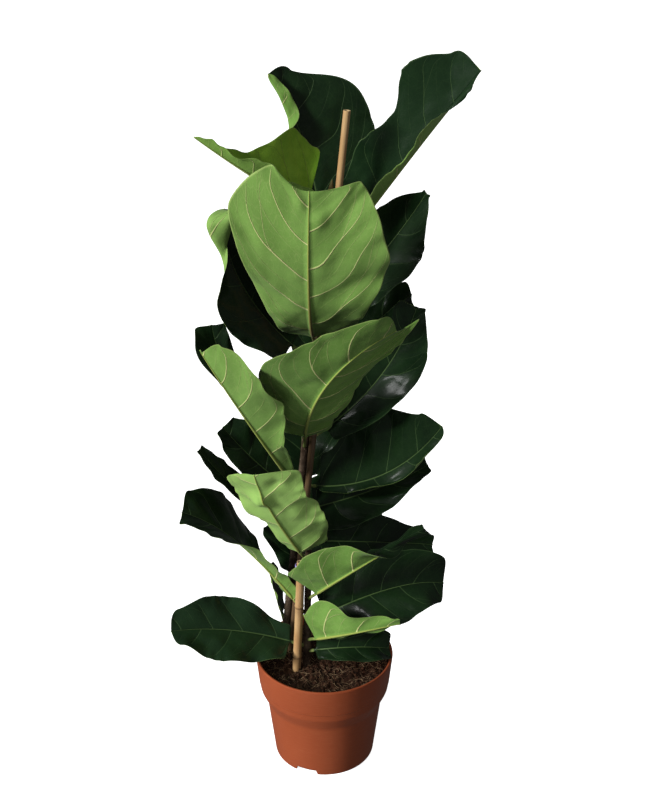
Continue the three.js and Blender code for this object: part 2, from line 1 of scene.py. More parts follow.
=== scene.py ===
import bmesh
import bpy
import numpy as np
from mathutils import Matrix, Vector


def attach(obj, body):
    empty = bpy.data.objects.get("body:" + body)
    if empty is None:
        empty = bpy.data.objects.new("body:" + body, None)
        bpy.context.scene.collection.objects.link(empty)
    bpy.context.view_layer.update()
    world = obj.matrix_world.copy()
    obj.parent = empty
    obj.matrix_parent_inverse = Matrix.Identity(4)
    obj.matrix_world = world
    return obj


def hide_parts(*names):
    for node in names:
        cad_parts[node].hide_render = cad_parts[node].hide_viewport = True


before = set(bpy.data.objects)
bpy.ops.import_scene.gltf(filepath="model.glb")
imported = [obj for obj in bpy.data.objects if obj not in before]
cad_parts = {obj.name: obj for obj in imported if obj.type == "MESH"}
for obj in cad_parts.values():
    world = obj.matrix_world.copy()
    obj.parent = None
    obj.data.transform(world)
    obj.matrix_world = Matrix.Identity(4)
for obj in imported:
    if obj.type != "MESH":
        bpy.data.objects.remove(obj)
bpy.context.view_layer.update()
print("frame loaded:", len(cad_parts), "nodes")


# Points, faces and meshes

def unit(vectors):
    length = np.linalg.norm(vectors, axis=-1, keepdims=True)
    return vectors / np.maximum(length, 1e-12)


def ramp(x, low, high):
    # 0 below low, 1 above high, and a smooth S between them
    t = np.clip((x - low) / (high - low), 0, 1)
    return t * t * (3 - 2 * t)


def ripple(x, y, size, seed):
    # sum of ten plane waves, each in its own direction, whose lengths lie round the given size
    rng = np.random.default_rng(seed)
    turn = rng.uniform(0, 2 * np.pi, 10)
    pace = 2 * np.pi / (size * rng.uniform(0.7, 1.6, 10))
    start = rng.uniform(0, 2 * np.pi, 10)
    waves = zip(turn, pace, start)
    return sum(np.sin(p * (x * np.cos(a) + y * np.sin(a)) + s) for a, p, s in waves) / 4


def gridFaces(rows, columns):
    # quads of a grid whose last column joins its first
    row, column = np.meshgrid(np.arange(rows - 1), np.arange(columns), indexing="ij")
    a = row * columns + column
    b = row * columns + (column + 1) % columns
    return np.stack([a, b, b + columns, a + columns], -1).reshape(-1, 4)


def addPiece(name, points, faces, looks, nodes=(), faceLook=None, vectors=None, uv=None,
             closePoles=True):
    # points in mm become a mesh in metres; vectors and uv are values for each point
    mesh = bpy.data.meshes.new(name)
    mesh.from_pydata(points.reshape(-1, 3) / 1000, [], faces)
    for look in looks:
        mesh.materials.append(look)
    if faceLook is not None:
        mesh.polygons.foreach_set("material_index", faceLook.astype(np.int32))
    for key, values in (vectors or {}).items():
        layer = mesh.attributes.new(key, "FLOAT_VECTOR", "POINT")
        layer.data.foreach_set("vector", values.astype(np.float32).ravel())
    if uv is not None:
        corner = np.zeros(len(mesh.loops), np.int32)
        mesh.loops.foreach_get("vertex_index", corner)
        layer = mesh.uv_layers.new(name="pieceMap")
        layer.data.foreach_set("uv", uv.reshape(-1, 2)[corner].astype(np.float32).ravel())
    if closePoles:
        work = bmesh.new()
        work.from_mesh(mesh)
        bmesh.ops.remove_doubles(work, verts=work.verts, dist=2e-6)
        work.to_mesh(mesh)
        work.free()
    mesh.shade_smooth()
    mesh.update()
    piece = newObject(name, mesh)
    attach(piece, "root")
    if nodes:
        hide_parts(*nodes)
    return piece


def roundedLine(corners, radius, steps=5):
    # polyline whose corners become small parabolas that start at the given distance from each
    corners = np.array(corners, float)
    before, here, after = corners[:-2], corners[1:-1], corners[2:]
    lengthIn = np.linalg.norm(here - before, axis=1, keepdims=True)
    lengthOut = np.linalg.norm(after - here, axis=1, keepdims=True)
    cut = np.minimum(np.array(radius, float).reshape(-1, 1), 0.45 * np.minimum(lengthIn, lengthOut))
    first = here + (before - here) / lengthIn * cut
    last = here + (after - here) / lengthOut * cut
    q = np.linspace(0, 1, steps)[None, :, None]
    arcs = (1 - q) ** 2 * first[:, None] + 2 * q * (1 - q) * here[:, None] + q * q * last[:, None]
    return np.concatenate([corners[:1], arcs.reshape(-1, 2), corners[-1:]])


def circle(sides):
    return np.arange(sides) * 2 * np.pi / sides


def tube(centre, side, up, radius, sides):
    # rings of points round a path: centre + radius (side cos a + up sin a), with a radius for each ring
    a = np.pi - circle(sides) - np.pi / sides
    ring = side[:, None] * np.cos(a)[None, :, None] + up[:, None] * np.sin(a)[None, :, None]
    return centre[:, None] + ring * radius[..., None]


def newObject(name, data):
    made = bpy.data.objects.new(name, data)
    bpy.context.scene.collection.objects.link(made)
    return made


# Shader helpers

def put(tree, kind, inputs=None, **settings):
    node = tree.nodes.new(kind)
    for key, value in settings.items():
        setattr(node, key, value)
    for key, value in (inputs or {}).items():
        socket = node.inputs[key]
        if isinstance(value, bpy.types.NodeSocket):
            tree.links.new(value, socket)
        else:
            socket.default_value = value
    return node


def calc(tree, operation, *values):
    inputs = dict(enumerate(values))
    return put(tree, "ShaderNodeMath", inputs, operation=operation).outputs[0]


def axes(tree, vector):
    return put(tree, "ShaderNodeSeparateXYZ", {"Vector": vector}).outputs


def wire(tree, sockets, **values):
    # links into a node's own sockets; an underscore stands for a space
    for key, value in values.items():
        tree.links.new(value, sockets[key.replace("_", " ")])


def spread(tree, value, low, high, start=0.0, end=1.0):
    # the range low to high, stretched smoothly to start and end
    inputs = {"Value": value, "From Min": low, "From Max": high, "To Min": start, "To Max": end}
    return put(tree, "ShaderNodeMapRange", inputs, interpolation_type="SMOOTHSTEP").outputs["Result"]


def blendColour(tree, share, first, second):
    node = put(tree, "ShaderNodeMix", data_type="RGBA")
    for socket, value in ((node.inputs[0], share), (node.inputs[6], first), (node.inputs[7], second)):
        if isinstance(value, bpy.types.NodeSocket):
            tree.links.new(value, socket)
        elif isinstance(value, tuple):
            socket.default_value = (*value, 1.0)
        else:
            socket.default_value = value
    return node.outputs[2]


def wash(tree, tint, mask, share, colour):
    # a colour laid over the tint where the mask is, no stronger than the share
    return blendColour(tree, calc(tree, "MULTIPLY", mask, share), tint, colour)


def noise(tree, where, scale, detail=3.0, roughness=0.55):
    inputs = {"Vector": where, "Scale": scale, "Detail": detail, "Roughness": roughness}
    return put(tree, "ShaderNodeTexNoise", inputs).outputs["Fac"]


def stretched(tree, where, scale):
    inputs = {"Vector": where, "Scale": scale}
    return put(tree, "ShaderNodeMapping", inputs).outputs["Vector"]


def bump(tree, height, distance, strength=1.0, normal=None):
    inputs = {"Height": height, "Distance": distance, "Strength": strength}
    if normal is not None:
        inputs["Normal"] = normal
    return put(tree, "ShaderNodeBump", inputs).outputs["Normal"]


def newLook(name, **sockets):
    # a material with its shader's own sockets set; an underscore stands for a space
    look = bpy.data.materials.new(name)
    look.use_nodes = True
    tree = look.node_tree
    shader = tree.nodes["Principled BSDF"]
    for key, value in sockets.items():
        shader.inputs[key.replace("_", " ")].default_value = value
    return look, tree, shader


def newGroup(name, inputs, outputs):
    tree = bpy.data.node_groups.new(name, "ShaderNodeTree")
    for key, kind in inputs.items():
        tree.interface.new_socket(name=key, in_out="INPUT", socket_type=kind)
    for key, kind in outputs.items():
        tree.interface.new_socket(name=key, in_out="OUTPUT", socket_type=kind)
    return tree, tree.nodes.new("NodeGroupInput").outputs, tree.nodes.new("NodeGroupOutput").inputs


def placeGroup(tree, group, inputs):
    node = tree.nodes.new("ShaderNodeGroup")
    node.node_tree = group
    for key, value in inputs.items():
        if isinstance(value, bpy.types.NodeSocket):
            tree.links.new(value, node.inputs[key])
        else:
            node.inputs[key].default_value = value
    return node.outputs


def grainGroup():
    # specks and clouds of two sizes, shared by the pot, wood and soil
    names = {"Vector": "NodeSocketVector", "Fine": "NodeSocketFloat", "Coarse": "NodeSocketFloat"}
    tree, given, result = newGroup("grain", names, {"Cloud": "NodeSocketFloat", "Speck": "NodeSocketFloat"})
    cloud = noise(tree, given["Vector"], given["Coarse"], 4.0, 0.6)
    speck = noise(tree, given["Vector"], given["Fine"], 2.0, 0.7)
    wire(tree, result, Cloud=spread(tree, cloud, 0.3, 0.7), Speck=spread(tree, speck, 0.35, 0.65))
    return tree


grain = grainGroup()


def grainMarks(tree, fine, coarse):
    # the piece's own coordinates, and the grain's masks on them at two scales
    where = put(tree, "ShaderNodeTexCoord").outputs["Object"]
    return where, placeGroup(tree, grain, {"Vector": where, "Fine": fine, "Coarse": coarse})


# Camera, light and floor

view = {
    # metres and degrees
    "place": (0, -1.6, 1.323), "pitchDown": 24.4, "turnRight": 0.2, "lens": 56.66,
    "sky": 0.12, "floor": (0.93, 0.93, 0.93), "floorGlow": 0.9, "floorReach": 20, "floorDrop": 0.0002,
}
lights = {
    # name: place in metres, aim, width, power in watts, and whether it makes highlights
    "keySoftbox": ((-1.9, -0.9, 1.7), (0, 0, 0.6), 0.45, 14, True),
    "fillSoftbox": ((0.5, -2.2, 1.7), (0, 0, 0.5), 0.5, 5.5, False),
    "backSoftbox": ((0.9, 2.3, 1.6), (0, 0, 0.5), 0.6, 13, False),
    "bounceCard": ((-0.30, -0.50, 0.02), (0, 0, 0.14), 0.4, 0.7, False),
}
# one wide and distant light, low on the left
broadLight = {"from": (-0.81, -0.46, 0.37), "width": 14, "power": 3.9}


def addCamera():
    data = bpy.data.cameras.new("photoCamera")
    data.sensor_fit = "VERTICAL"
    data.sensor_width = data.sensor_height = 36
    data.lens = view["lens"]
    data.clip_end = 60
    camera = newObject("photoCamera", data)
    camera.location = view["place"]
    camera.rotation_euler = np.radians([90 - view["pitchDown"], 0, -view["turnRight"]])
    bpy.context.scene.camera = camera


def addLights():
    for name, (place, aim, width, power, shine) in lights.items():
        data = bpy.data.lights.new(name, "AREA")
        data.shape = "SQUARE"
        data.size = width
        data.energy = power
        lamp = newObject(name, data)
        lamp.location = place
        toward = Vector(aim) - Vector(place)
        lamp.rotation_euler = toward.to_track_quat("-Z", "Y").to_euler()
        lamp.visible_glossy = shine
    data = bpy.data.lights.new("broadLight", "SUN")
    data.angle = np.radians(broadLight["width"])
    data.energy = broadLight["power"]
    lamp = newObject("broadLight", data)
    lamp.rotation_euler = Vector(broadLight["from"]).to_track_quat("Z", "Y").to_euler()
    lamp.visible_glossy = False
    world = bpy.data.worlds.new("studio")
    bpy.context.scene.world = world
    world.use_nodes = True
    background = world.node_tree.nodes["Background"]
    background.inputs["Color"].default_value = (1, 1, 1, 1)
    # dim as a light, white as a backdrop
    seen = put(world.node_tree, "ShaderNodeLightPath").outputs["Is Camera Ray"]
    strength = spread(world.node_tree, seen, 0.0, 1.0, view["sky"], 1.0)
    world.node_tree.links.new(strength, background.inputs["Strength"])


def addFloor():
    look, tree, shader = newLook("floorPaper", Roughness=0.9)
    where = put(tree, "ShaderNodeTexCoord").outputs["Object"]
    clouds = noise(tree, where, 3.0)
    tint = blendColour(tree, clouds, view["floor"], tuple(0.98 * c for c in view["floor"]))
    wire(tree, shader.inputs, Base_Color=tint)
    shader.inputs["Emission Color"].default_value = (1, 1, 1, 1)
    shader.inputs["Emission Strength"].default_value = view["floorGlow"]
    mesh = bpy.data.meshes.new("floor")
    reach = view["floorReach"]
    corners = [(-reach, -reach, 0), (reach, -reach, 0), (reach, reach, 0), (-reach, reach, 0)]
    mesh.from_pydata(corners, [], [(0, 1, 2, 3)])
    mesh.materials.append(look)
    floor = newObject("floor", mesh)
    floor.location.z = -view["floorDrop"]
    # the paper doesn't light the plant from below
    floor.visible_diffuse = floor.visible_glossy = False


addCamera()
addLights()
addFloor()
bpy.context.scene.view_settings.view_transform = "Standard"
print("camera, light and floor")


# Pot

pot = {
    "height": 175, "rimRadius": 105, "baseRadius": 77, "collarRadius": 98.6, "collarBottom": 118,
    "chamferRadius": 88.5, "chamferBottom": 96, "seamHeight": 129, "seamStep": 0.7, "wall": 2.2,
    "floorThickness": 2.5, "channelRadius": 58, "channelHeight": 9, "notches": 3, "notchWidth": 33,
    "notchHeight": 8, "firstNotchAngle": 249, "sides": 288,
    "colour": (0.265, 0.058, 0.021), "dust": (0.33, 0.084, 0.035), "foot": (0.24, 0.052, 0.019),
    "streak": (0.42, 0.14, 0.065),
}


def potRadius(height):
    levels = (0, pot["chamferBottom"], pot["collarBottom"], pot["height"])
    radii = (pot["baseRadius"], pot["chamferRadius"], pot["collarRadius"], pot["rimRadius"])
    return np.interp(height, levels, radii)


def potLook():
    # matt terracotta-coloured plastic: soft clouds, faint level rings from its mould, and a darker foot
    look, tree, shader = newLook("terracottaPlastic", IOR=1.48, Specular_IOR_Level=0.2)
    where, marks = grainMarks(tree, 900.0, 9.0)
    low = spread(tree, axes(tree, where)["Z"], 0.0, 0.06, 1.0, 0.0)
    tint = wash(tree, pot["colour"], marks["Cloud"], 0.35, pot["dust"])
    tint = wash(tree, tint, low, 0.22, pot["foot"])
    streaks = noise(tree, stretched(tree, where, (60.0, 60.0, 900.0)), 1.0, 3.0, 0.6)
    tint = blendColour(tree, spread(tree, streaks, 0.45, 0.75, 0.0, 0.18), tint, pot["streak"])
    rings = bump(tree, streaks, 0.00012, 0.5)
    wire(tree, shader.inputs, Base_Color=tint, Roughness=spread(tree, marks["Cloud"], 0.0, 1.0, 0.42, 0.56),
         Normal=bump(tree, marks["Speck"], 0.00008, 0.35, rings))
    return look


def addPot():
    # a closed profile of radius and height, turned about Z; the foot's lower edge rises at each notch
    wall, floorTop, seam, step = pot["wall"], pot["floorThickness"], pot["seamHeight"], pot["seamStep"]
    channel, under = pot["channelRadius"], pot["channelHeight"]
    rim, top, chamfer, collar = pot["rimRadius"], pot["height"], pot["chamferRadius"], pot["collarRadius"]
    over = [pot["notchHeight"] + k for k in (2.5, 5)]  # two rows that keep the notches' bend close to them
    corners = [
        (0, 0), (channel, 0), (channel + floorTop, under), (potRadius(under) - wall, under),
        (pot["baseRadius"] - wall, 0), (pot["baseRadius"], 0), (potRadius(over[0]), over[0]),
        (potRadius(over[1]), over[1]), (chamfer, pot["chamferBottom"]), (collar, pot["collarBottom"]),
        (potRadius(seam), seam), (potRadius(seam) + step, seam + step), (rim, top - wall), (rim - 0.6, top),
        (rim - wall - 0.6, top), (rim - 2 * wall, top - wall), (collar - wall, pot["collarBottom"]),
        (chamfer - wall, pot["chamferBottom"]), (potRadius(under + floorTop) - wall, under + floorTop),
        (channel, under + floorTop), (channel - floorTop, floorTop), (0, floorTop),
    ]
    edges = [1, 1, 1, 0.7, 0.8, 0.5, 0.5, 5, 3, 0.8, 0.8, 2, 0.8, 0.8, 2, 3, 5, 1, 1, 1]
    profile = roundedLine(corners, edges)
    radius, level = profile[:, :1], profile[:, 1:]
    walk = circle(pot["sides"])
    spacing = 2 * np.pi / pot["notches"]
    angle = walk + np.radians(pot["firstNotchAngle"])
    away = np.abs((walk + spacing / 2) % spacing - spacing / 2)[None] * pot["baseRadius"]
    half, soft = pot["notchWidth"] / 2, 1.2
    lift = pot["notchHeight"] * (1 - ramp(away, half - soft, half + soft))
    onFoot = (radius > channel + 10) & (level < pot["notchHeight"])
    height = np.where(onFoot, np.maximum(level, lift), level)
    across = radius + (height - level) * (chamfer - pot["baseRadius"]) / pot["chamferBottom"]
    points = np.stack([across * np.cos(angle), across * np.sin(angle), height], -1)
    faces = gridFaces(len(profile), pot["sides"])
    addPiece("potShell", points, faces, [potLook()], ["pot"])


addPot()
print("pot")


# Soil

soil = {
    "height": 158, "bump": 2.2, "lumps": 1.3, "rings": 74, "sides": 200, "crumbs": 1100, "fibres": 620,
    "dark": (0.012, 0.0058, 0.0036), "brown": (0.050, 0.022, 0.012), "grit": (0.10, 0.05, 0.03),
    "coir": (0.38, 0.26, 0.15), "wetCoir": (0.09, 0.045, 0.022),
}


def soilLevel(x, y):
    # the part's own even waves, which fade out at the wall, and finer lumps on them
    edge = np.clip(np.hypot(x, y) / (potRadius(soil["height"]) - 5), 0, 1)
    wave = np.sin(x / 9 + 0.6) * np.cos(y / 11) + 0.6 * np.sin((x - 1.4 * y) / 6.5)
    lumps = ripple(x, y, 9, 5) + 0.6 * ripple(x, y, 4.5, 6)
    return soil["height"] + soil["bump"] * wave * (1 - edge ** 6) + soil["lumps"] * lumps


def soilLook():
    # damp dark soil with brown clouds and small grit
    look, tree, shader = newLook("pottingSoil", Specular_IOR_Level=0.25)
    where, marks = grainMarks(tree, 620.0, 120.0)
    tint = blendColour(tree, marks["Cloud"], soil["dark"], soil["brown"])
    tint = blendColour(tree, spread(tree, marks["Speck"], 0.55, 1.0, 0.0, 0.5), tint, soil["grit"])
    cells = put(tree, "ShaderNodeTexVoronoi", {"Vector": where, "Scale": 420.0}).outputs["Distance"]
    rough = bump(tree, cells, 0.0012, 0.9)
    wire(tree, shader.inputs, Base_Color=tint, Roughness=spread(tree, marks["Speck"], 0.0, 1.0, 0.75, 0.95),
         Normal=bump(tree, marks["Speck"], 0.0009, 0.8, rough))
    return look


def coirLook():
    look, tree, shader = newLook("coirFibre", Roughness=0.7)
    marks = grainMarks(tree, 300.0, 45.0)[1]
    wire(tree, shader.inputs, Base_Color=blendColour(tree, marks["Cloud"], soil["wetCoir"], soil["coir"]))
    return look


def addSoil():
    # a closed round body: wall levels from the floor up, then rings in to the centre of the top
    angle = circle(soil["sides"])
    inset, bottom, ledge = pot["wall"] + 0.6, 2.9, 12  # ledge is the step over the drain channel
    walls = [
        (0, bottom), (pot["channelRadius"] - 3, bottom), (pot["channelRadius"] - 1, ledge),
        (potRadius(ledge) - inset, ledge), (pot["chamferRadius"] - inset, pot["chamferBottom"]),
        (pot["collarRadius"] - inset, pot["collarBottom"]),
    ]
    rim = potRadius(soil["height"]) - inset - pot["wall"]
    rings = np.linspace(1, 0, soil["rings"]) ** 0.8 * rim
    radius = np.concatenate([[r for r, _ in walls], rings])[:, None]
    x, y = radius * np.cos(angle), radius * np.sin(angle)
    wallLevel = np.concatenate([[z for _, z in walls], 0 * rings])[:, None]
    level = np.where(np.arange(len(radius))[:, None] < len(walls), wallLevel, soilLevel(x, y))
    points = np.stack([x, y, level], -1)
    look = soilLook()
    addPiece("soilBed", points, gridFaces(len(radius), soil["sides"]), [look], ["soil"])

    # crumbs: small balls with rough corners, pressed out of round and turned at random
    rng = np.random.default_rng(11)
    count = soil["crumbs"]
    bare = bmesh.new()
    bmesh.ops.create_icosphere(bare, subdivisions=1, radius=1)
    corner = np.array([v.co for v in bare.verts])
    side = np.array([[v.index for v in f.verts] for f in bare.faces])
    bare.free()
    away = rim * 0.97 * np.sqrt(rng.random(count))
    turn = rng.uniform(0, 2 * np.pi, count)
    x, y = away * np.cos(turn), away * np.sin(turn)
    size = rng.gamma(2.2, 0.55, count)[:, None, None] * rng.uniform(0.6, 1.4, (count, 1, 3))
    shape = corner[None] * (1 + 0.3 * rng.standard_normal((count, len(corner), 1)))
    basis = np.linalg.qr(rng.standard_normal((count, 3, 3)))[0]
    basis *= np.sign(np.linalg.det(basis))[:, None, None]
    crumbs = (shape * np.clip(size, 0.4, 3.2)) @ basis
    crumbs += np.stack([x, y, soilLevel(x, y) + 0.3], -1)[:, None]
    faces = (side[None] + len(corner) * np.arange(count)[:, None, None]).reshape(-1, 3)
    addPiece("soilCrumbs", crumbs, faces, [look], closePoles=False)

    # fibres: thin three-sided tubes that bend along a parabola just over the soil
    count = soil["fibres"]
    away = rim * 0.93 * np.sqrt(rng.random(count))
    turn, heading = rng.uniform(0, 2 * np.pi, (2, count))
    length, bend = rng.gamma(3.0, 5.0, count), rng.uniform(-0.5, 0.5, count)
    steps, sides = 8, 3
    q = np.linspace(-0.5, 0.5, steps)[None]
    along = q * length[:, None]
    across = bend[:, None] * length[:, None] * (q * q * 2)
    east, north = np.cos(heading)[:, None], np.sin(heading)[:, None]
    x = (away * np.cos(turn))[:, None] + along * east - across * north
    y = (away * np.sin(turn))[:, None] + along * north + across * east
    reach = np.maximum(np.hypot(x, y) / (rim - 1), 1)
    x, y = x / reach, y / reach
    lift = rng.uniform(0.2, 1.6, count)[:, None] + rng.uniform(-3, 3, count)[:, None] * q
    centre = np.stack([x, y, soilLevel(x, y) + lift], -1)
    forward = unit(np.gradient(centre, axis=1))
    sideways = unit(np.cross(forward, (0, 0, 1.0)))
    upward = np.cross(sideways, forward)
    taper = np.sin(np.pi * (q + 0.55) / 1.1)[..., None, None]
    thick = rng.uniform(0.14, 0.34, count)[:, None, None, None] * taper
    a = circle(sides)
    ring = sideways[:, :, None] * np.cos(a)[:, None] + upward[:, :, None] * np.sin(a)[:, None]
    points = centre[:, :, None] + ring * thick
    faces = gridFaces(steps, sides)[None] + steps * sides * np.arange(count)[:, None, None]
    faces = faces.reshape(-1, 4)
    addPiece("coirFibres", points, faces, [coirLook()], closePoles=False)


addSoil()
print("soil, crumbs and fibres")


# Stems, bud, stakes and tie

stems = {
    "tall": {"foot": (-66, 36, 120), "top": (8, 31, 870), "radius": 7, "topRadius": 4.2},
    "short": {"foot": (-28, -14, 120), "top": (-23, 9, 348), "radius": 6, "topRadius": 5},
}
bud = {"length": 34, "radius": 5}
bark = {
    "dark": (0.022, 0.013, 0.008), "grey": (0.085, 0.060, 0.040), "green": (0.085, 0.115, 0.040),
    "sheath": (0.16, 0.075, 0.030), "dots": (0.20, 0.15, 0.10),
}
# each cane's paintedShade is how strongly painted shade darkens its lower part
stakes = {
    "tall": {"foot": (-56, 26.3, 120), "top": (30, 20, 995), "radius": 5, "joints": (0.2, 0.47, 0.74),
             "paintedShade": 0.85},
    "short": {"foot": (-44, -24, 120), "top": (-34, -5, 337), "radius": 6.5, "joints": (0.27, 0.66),
              "paintedShade": 0},
}
# the paintedShade colour is painted shade, laid on the tall cane's lower part
bamboo = {
    "pale": (0.52, 0.34, 0.16), "tan": (0.38, 0.21, 0.085), "fibre": (0.24, 0.13, 0.055),
    "cut": (0.62, 0.45, 0.24), "stain": (0.10, 0.05, 0.022), "paintedShade": (0.060, 0.038, 0.022),
}
tie = {
    "height": 330, "band": 1.6, "width": 5, "colour": (0.30, 0.25, 0.62), "light": (0.44, 0.40, 0.72),
}


def axisOf(rod):
    foot, top = np.array(rod["foot"], float), np.array(rod["top"], float)
    along = unit(top - foot)
    side = unit(np.cross((0, 1.0, 0), along))
    return foot, top, along, side, np.cross(along, side)


def pointAt(rod, height):
    foot, top = np.array(rod["foot"], float), np.array(rod["top"], float)
    return foot + (top - foot) * (height - foot[2]) / (top[2] - foot[2])


def rodSurface(rod, station, radius, sides):
    # points at each station along the rod's line, at the radius given for each of its sides
    foot, top, _, side, up = axisOf(rod)
    centre = foot + (top - foot) * station[:, None]
    return tube(centre, side[None], up[None], radius, sides)


def closedEnds(points, first, last):
    # one more ring at each end, drawn together into a single place
    size = (1, points.shape[1], 3)
    return np.concatenate([np.broadcast_to(first, size), points, np.broadcast_to(last, size)])


def barkLook():
    # dark grey bark with pale dots and streaks along the stem, turning green towards the top
    look, tree, shader = newLook("figBark", Roughness=0.8, Specular_IOR_Level=0.3)
    where, marks = grainMarks(tree, 500.0, 60.0)
    tint = blendColour(tree, marks["Cloud"], bark["dark"], bark["grey"])
    tint = blendColour(tree, spread(tree, axes(tree, where)["Z"], 0.62, 0.86), tint, bark["green"])
    cells = {"Vector": stretched(tree, where, (1.0, 1.0, 0.6)), "Scale": 260.0}
    gap = put(tree, "ShaderNodeTexVoronoi", cells).outputs["Distance"]
    tint = blendColour(tree, spread(tree, gap, 0.12, 0.24, 0.55, 0.0), tint, bark["dots"])
    streaks = noise(tree, stretched(tree, where, (700.0, 700.0, 90.0)), 1.0, 4.0, 0.6)
    rough = bump(tree, marks["Speck"], 0.0003, 0.6)
    wire(tree, shader.inputs, Base_Color=tint, Normal=bump(tree, streaks, 0.0006, 0.8, rough))
    return look


def sheathLook():
    look, tree, shader = newLook("budSheath", Roughness=0.55)
    where = put(tree, "ShaderNodeTexCoord").outputs["Object"]
    streaks = noise(tree, stretched(tree, where, (900.0, 900.0, 70.0)), 1.0, 3.0, 0.6)
    wire(tree, shader.inputs, Base_Color=blendColour(tree, streaks, bark["green"], bark["sheath"]),
         Normal=bump(tree, streaks, 0.0003, 0.6))
    return look


def bambooLook():
    # fibres along a tan cane, stained at joints, darker in the hollow, pale where cut, and painted shade low
    # down on the tall cane
    look, tree, shader = newLook("bambooCane", IOR=1.5, Coat_Weight=0.12, Coat_Roughness=0.3)
    place = put(tree, "ShaderNodeUVMap", uv_map="pieceMap").outputs["UV"]
    cane = axes(tree, put(tree, "ShaderNodeAttribute", attribute_name="cane").outputs["Vector"])
    fibres = noise(tree, stretched(tree, place, (900.0, 12.0, 1.0)), 1.0, 4.0, 0.6)
    clouds = noise(tree, stretched(tree, place, (60.0, 14.0, 1.0)), 1.0, 3.0, 0.6)
    tint = blendColour(tree, spread(tree, clouds, 0.3, 0.7), bamboo["tan"], bamboo["pale"])
    tint = blendColour(tree, spread(tree, fibres, 0.45, 0.75, 0.0, 0.5), tint, bamboo["fibre"])
    for axis, layer in (("X", "stain"), ("Y", "cut"), ("Z", "paintedShade")):
        tint = blendColour(tree, cane[axis], tint, bamboo[layer])
    wire(tree, shader.inputs, Base_Color=tint, Roughness=spread(tree, fibres, 0.3, 0.7, 0.38, 0.6),
         Normal=bump(tree, fibres, 0.00025, 0.6))
    return look


def tieLook():
    look, tree, shader = newLook("violetTie", Roughness=0.35)
    marks = grainMarks(tree, 800.0, 120.0)[1]
    wire(tree, shader.inputs, Base_Color=blendColour(tree, marks["Cloud"], tie["colour"], tie["light"]),
         Normal=bump(tree, marks["Speck"], 0.0001, 0.5))
    return look


def addStem(name, rod, leafHeights, look):
    # radius falls from foot to top, swells at each leaf's node and has low bumps of bark
    sides, height = 36, np.linspace(rod["foot"][2], rod["top"][2], 300)
    station = (height - height[0]) / (height[-1] - height[0])
    angle = circle(sides)
    base = rod["radius"] + (rod["topRadius"] - rod["radius"]) * station
    gap = height[:, None] - np.array(leafHeights)[None]
    knots = np.exp(-(gap / 4.5) ** 2).sum(1)
    scars = np.exp(-((gap + 7) / 0.9) ** 2).sum(1)
    rough = 0.16 * ripple(angle[None] * 7, height[:, None] / 2.2, 4.4, 21)
    radius = base[:, None] - 0.15 + 0.35 * knots[:, None] - 0.3 * scars[:, None] + rough
    points = closedEnds(rodSurface(rod, station, radius, sides), rod["foot"], rod["top"])
    addPiece(name + "Stem", points, gridFaces(len(points), sides), [look], ["stem_" + name])


def addBud(look):
    # two scales wrapped round each other into a point: the radius follows a drop's outline
    rod, sides = stems["tall"], 32
    _, top, along, side, up = axisOf(rod)
    t = np.linspace(0, 1, 48)
    outline = bud["radius"] * np.sin(np.pi * (0.28 + 0.72 * t) ** 1.25) ** 0.75 * (1 - 0.25 * t)
    angle = circle(sides)
    seam = 0.35 * np.exp(-((np.sin((angle[None] - 2.2 * t[:, None]) / 2)) / 0.10) ** 2)
    radius = np.maximum(outline, 0.02)[:, None] - seam * np.minimum(outline, 1)[:, None]
    centre = top + along * (t[:, None] * bud["length"] - 1.0)
    points = closedEnds(tube(centre, side[None], up[None], radius, sides), centre[0], centre[-1])
    addPiece("budSheath", points, gridFaces(len(points), sides), [look])


def addStake(name, rod, look):
    # cane with a swollen ring and a groove at each joint; its top is cut flat round a hollow
    sides = 36
    foot, top = axisOf(rod)[:2]
    length = np.linalg.norm(top - foot)
    walk = np.linspace(0, length, int(length / 1.6))
    joints = np.array(rod["joints"])[None] * length
    gap = walk[:, None] - joints
    ring = np.exp(-((gap - 1.2) / 1.5) ** 2).sum(1) * 0.6
    groove = np.exp(-((gap + 1.4) / 0.7) ** 2).sum(1) * 0.35
    swell = np.exp(-(gap / 7) ** 2).sum(1) * 0.25
    rng = np.random.default_rng(len(name))
    angle = circle(sides)
    rough = 0.05 * ripple(angle[None] * 9, walk[:, None] / 14, 5, 31)
    radius = rod["radius"] - 0.2 + (ring - groove + swell)[:, None] + rough
    stain = (0.75 * np.exp(-((gap + 1.2) / 1.1) ** 2) + 0.25 * np.exp(-((gap + 6) / 9) ** 2)).sum(1)
    outer = rodSurface(rod, walk / length, radius, sides)
    hollow = rod["radius"] * 0.48
    capWalk = np.array([length, length, length - 6, length - 6])
    capRadius = np.array([rod["radius"] - 0.6, hollow, hollow * 0.9, 0])
    cap = rodSurface(rod, capWalk / length, capRadius[:, None], sides)
    points = np.concatenate([np.broadcast_to(foot, (1, sides, 3)), outer, cap])
    rows = len(points)
    cane = np.zeros((rows, sides, 3))
    distance = np.concatenate([[0], walk, length + np.array([1, 3, 8, 10])])
    cane[1:-4, :, 0] = stain[:, None]
    cane[-4:-2, :, 1] = 1
    cane[-2:, :, 0] = 0.9
    level = foot[2] + distance / length * (top[2] - foot[2])
    # painted shade: the tall cane is darkened below 560 mm, fading out by 820 mm, where the leaves shade it
    cane[..., 2] = rod["paintedShade"] * (1 - ramp(level, 560, 820))[:, None]
    # the map is in metres: 40 mm round the cane, and its own length
    uv = np.stack(np.broadcast_arrays(angle[None] / (2 * np.pi) * 0.04, distance[:, None] / 1000), -1)
    uv = uv + rng.random(2)
    addPiece(name + "Cane", points, gridFaces(rows, sides), [look], ["stake_" + name],
             vectors={"cane": cane}, uv=uv)


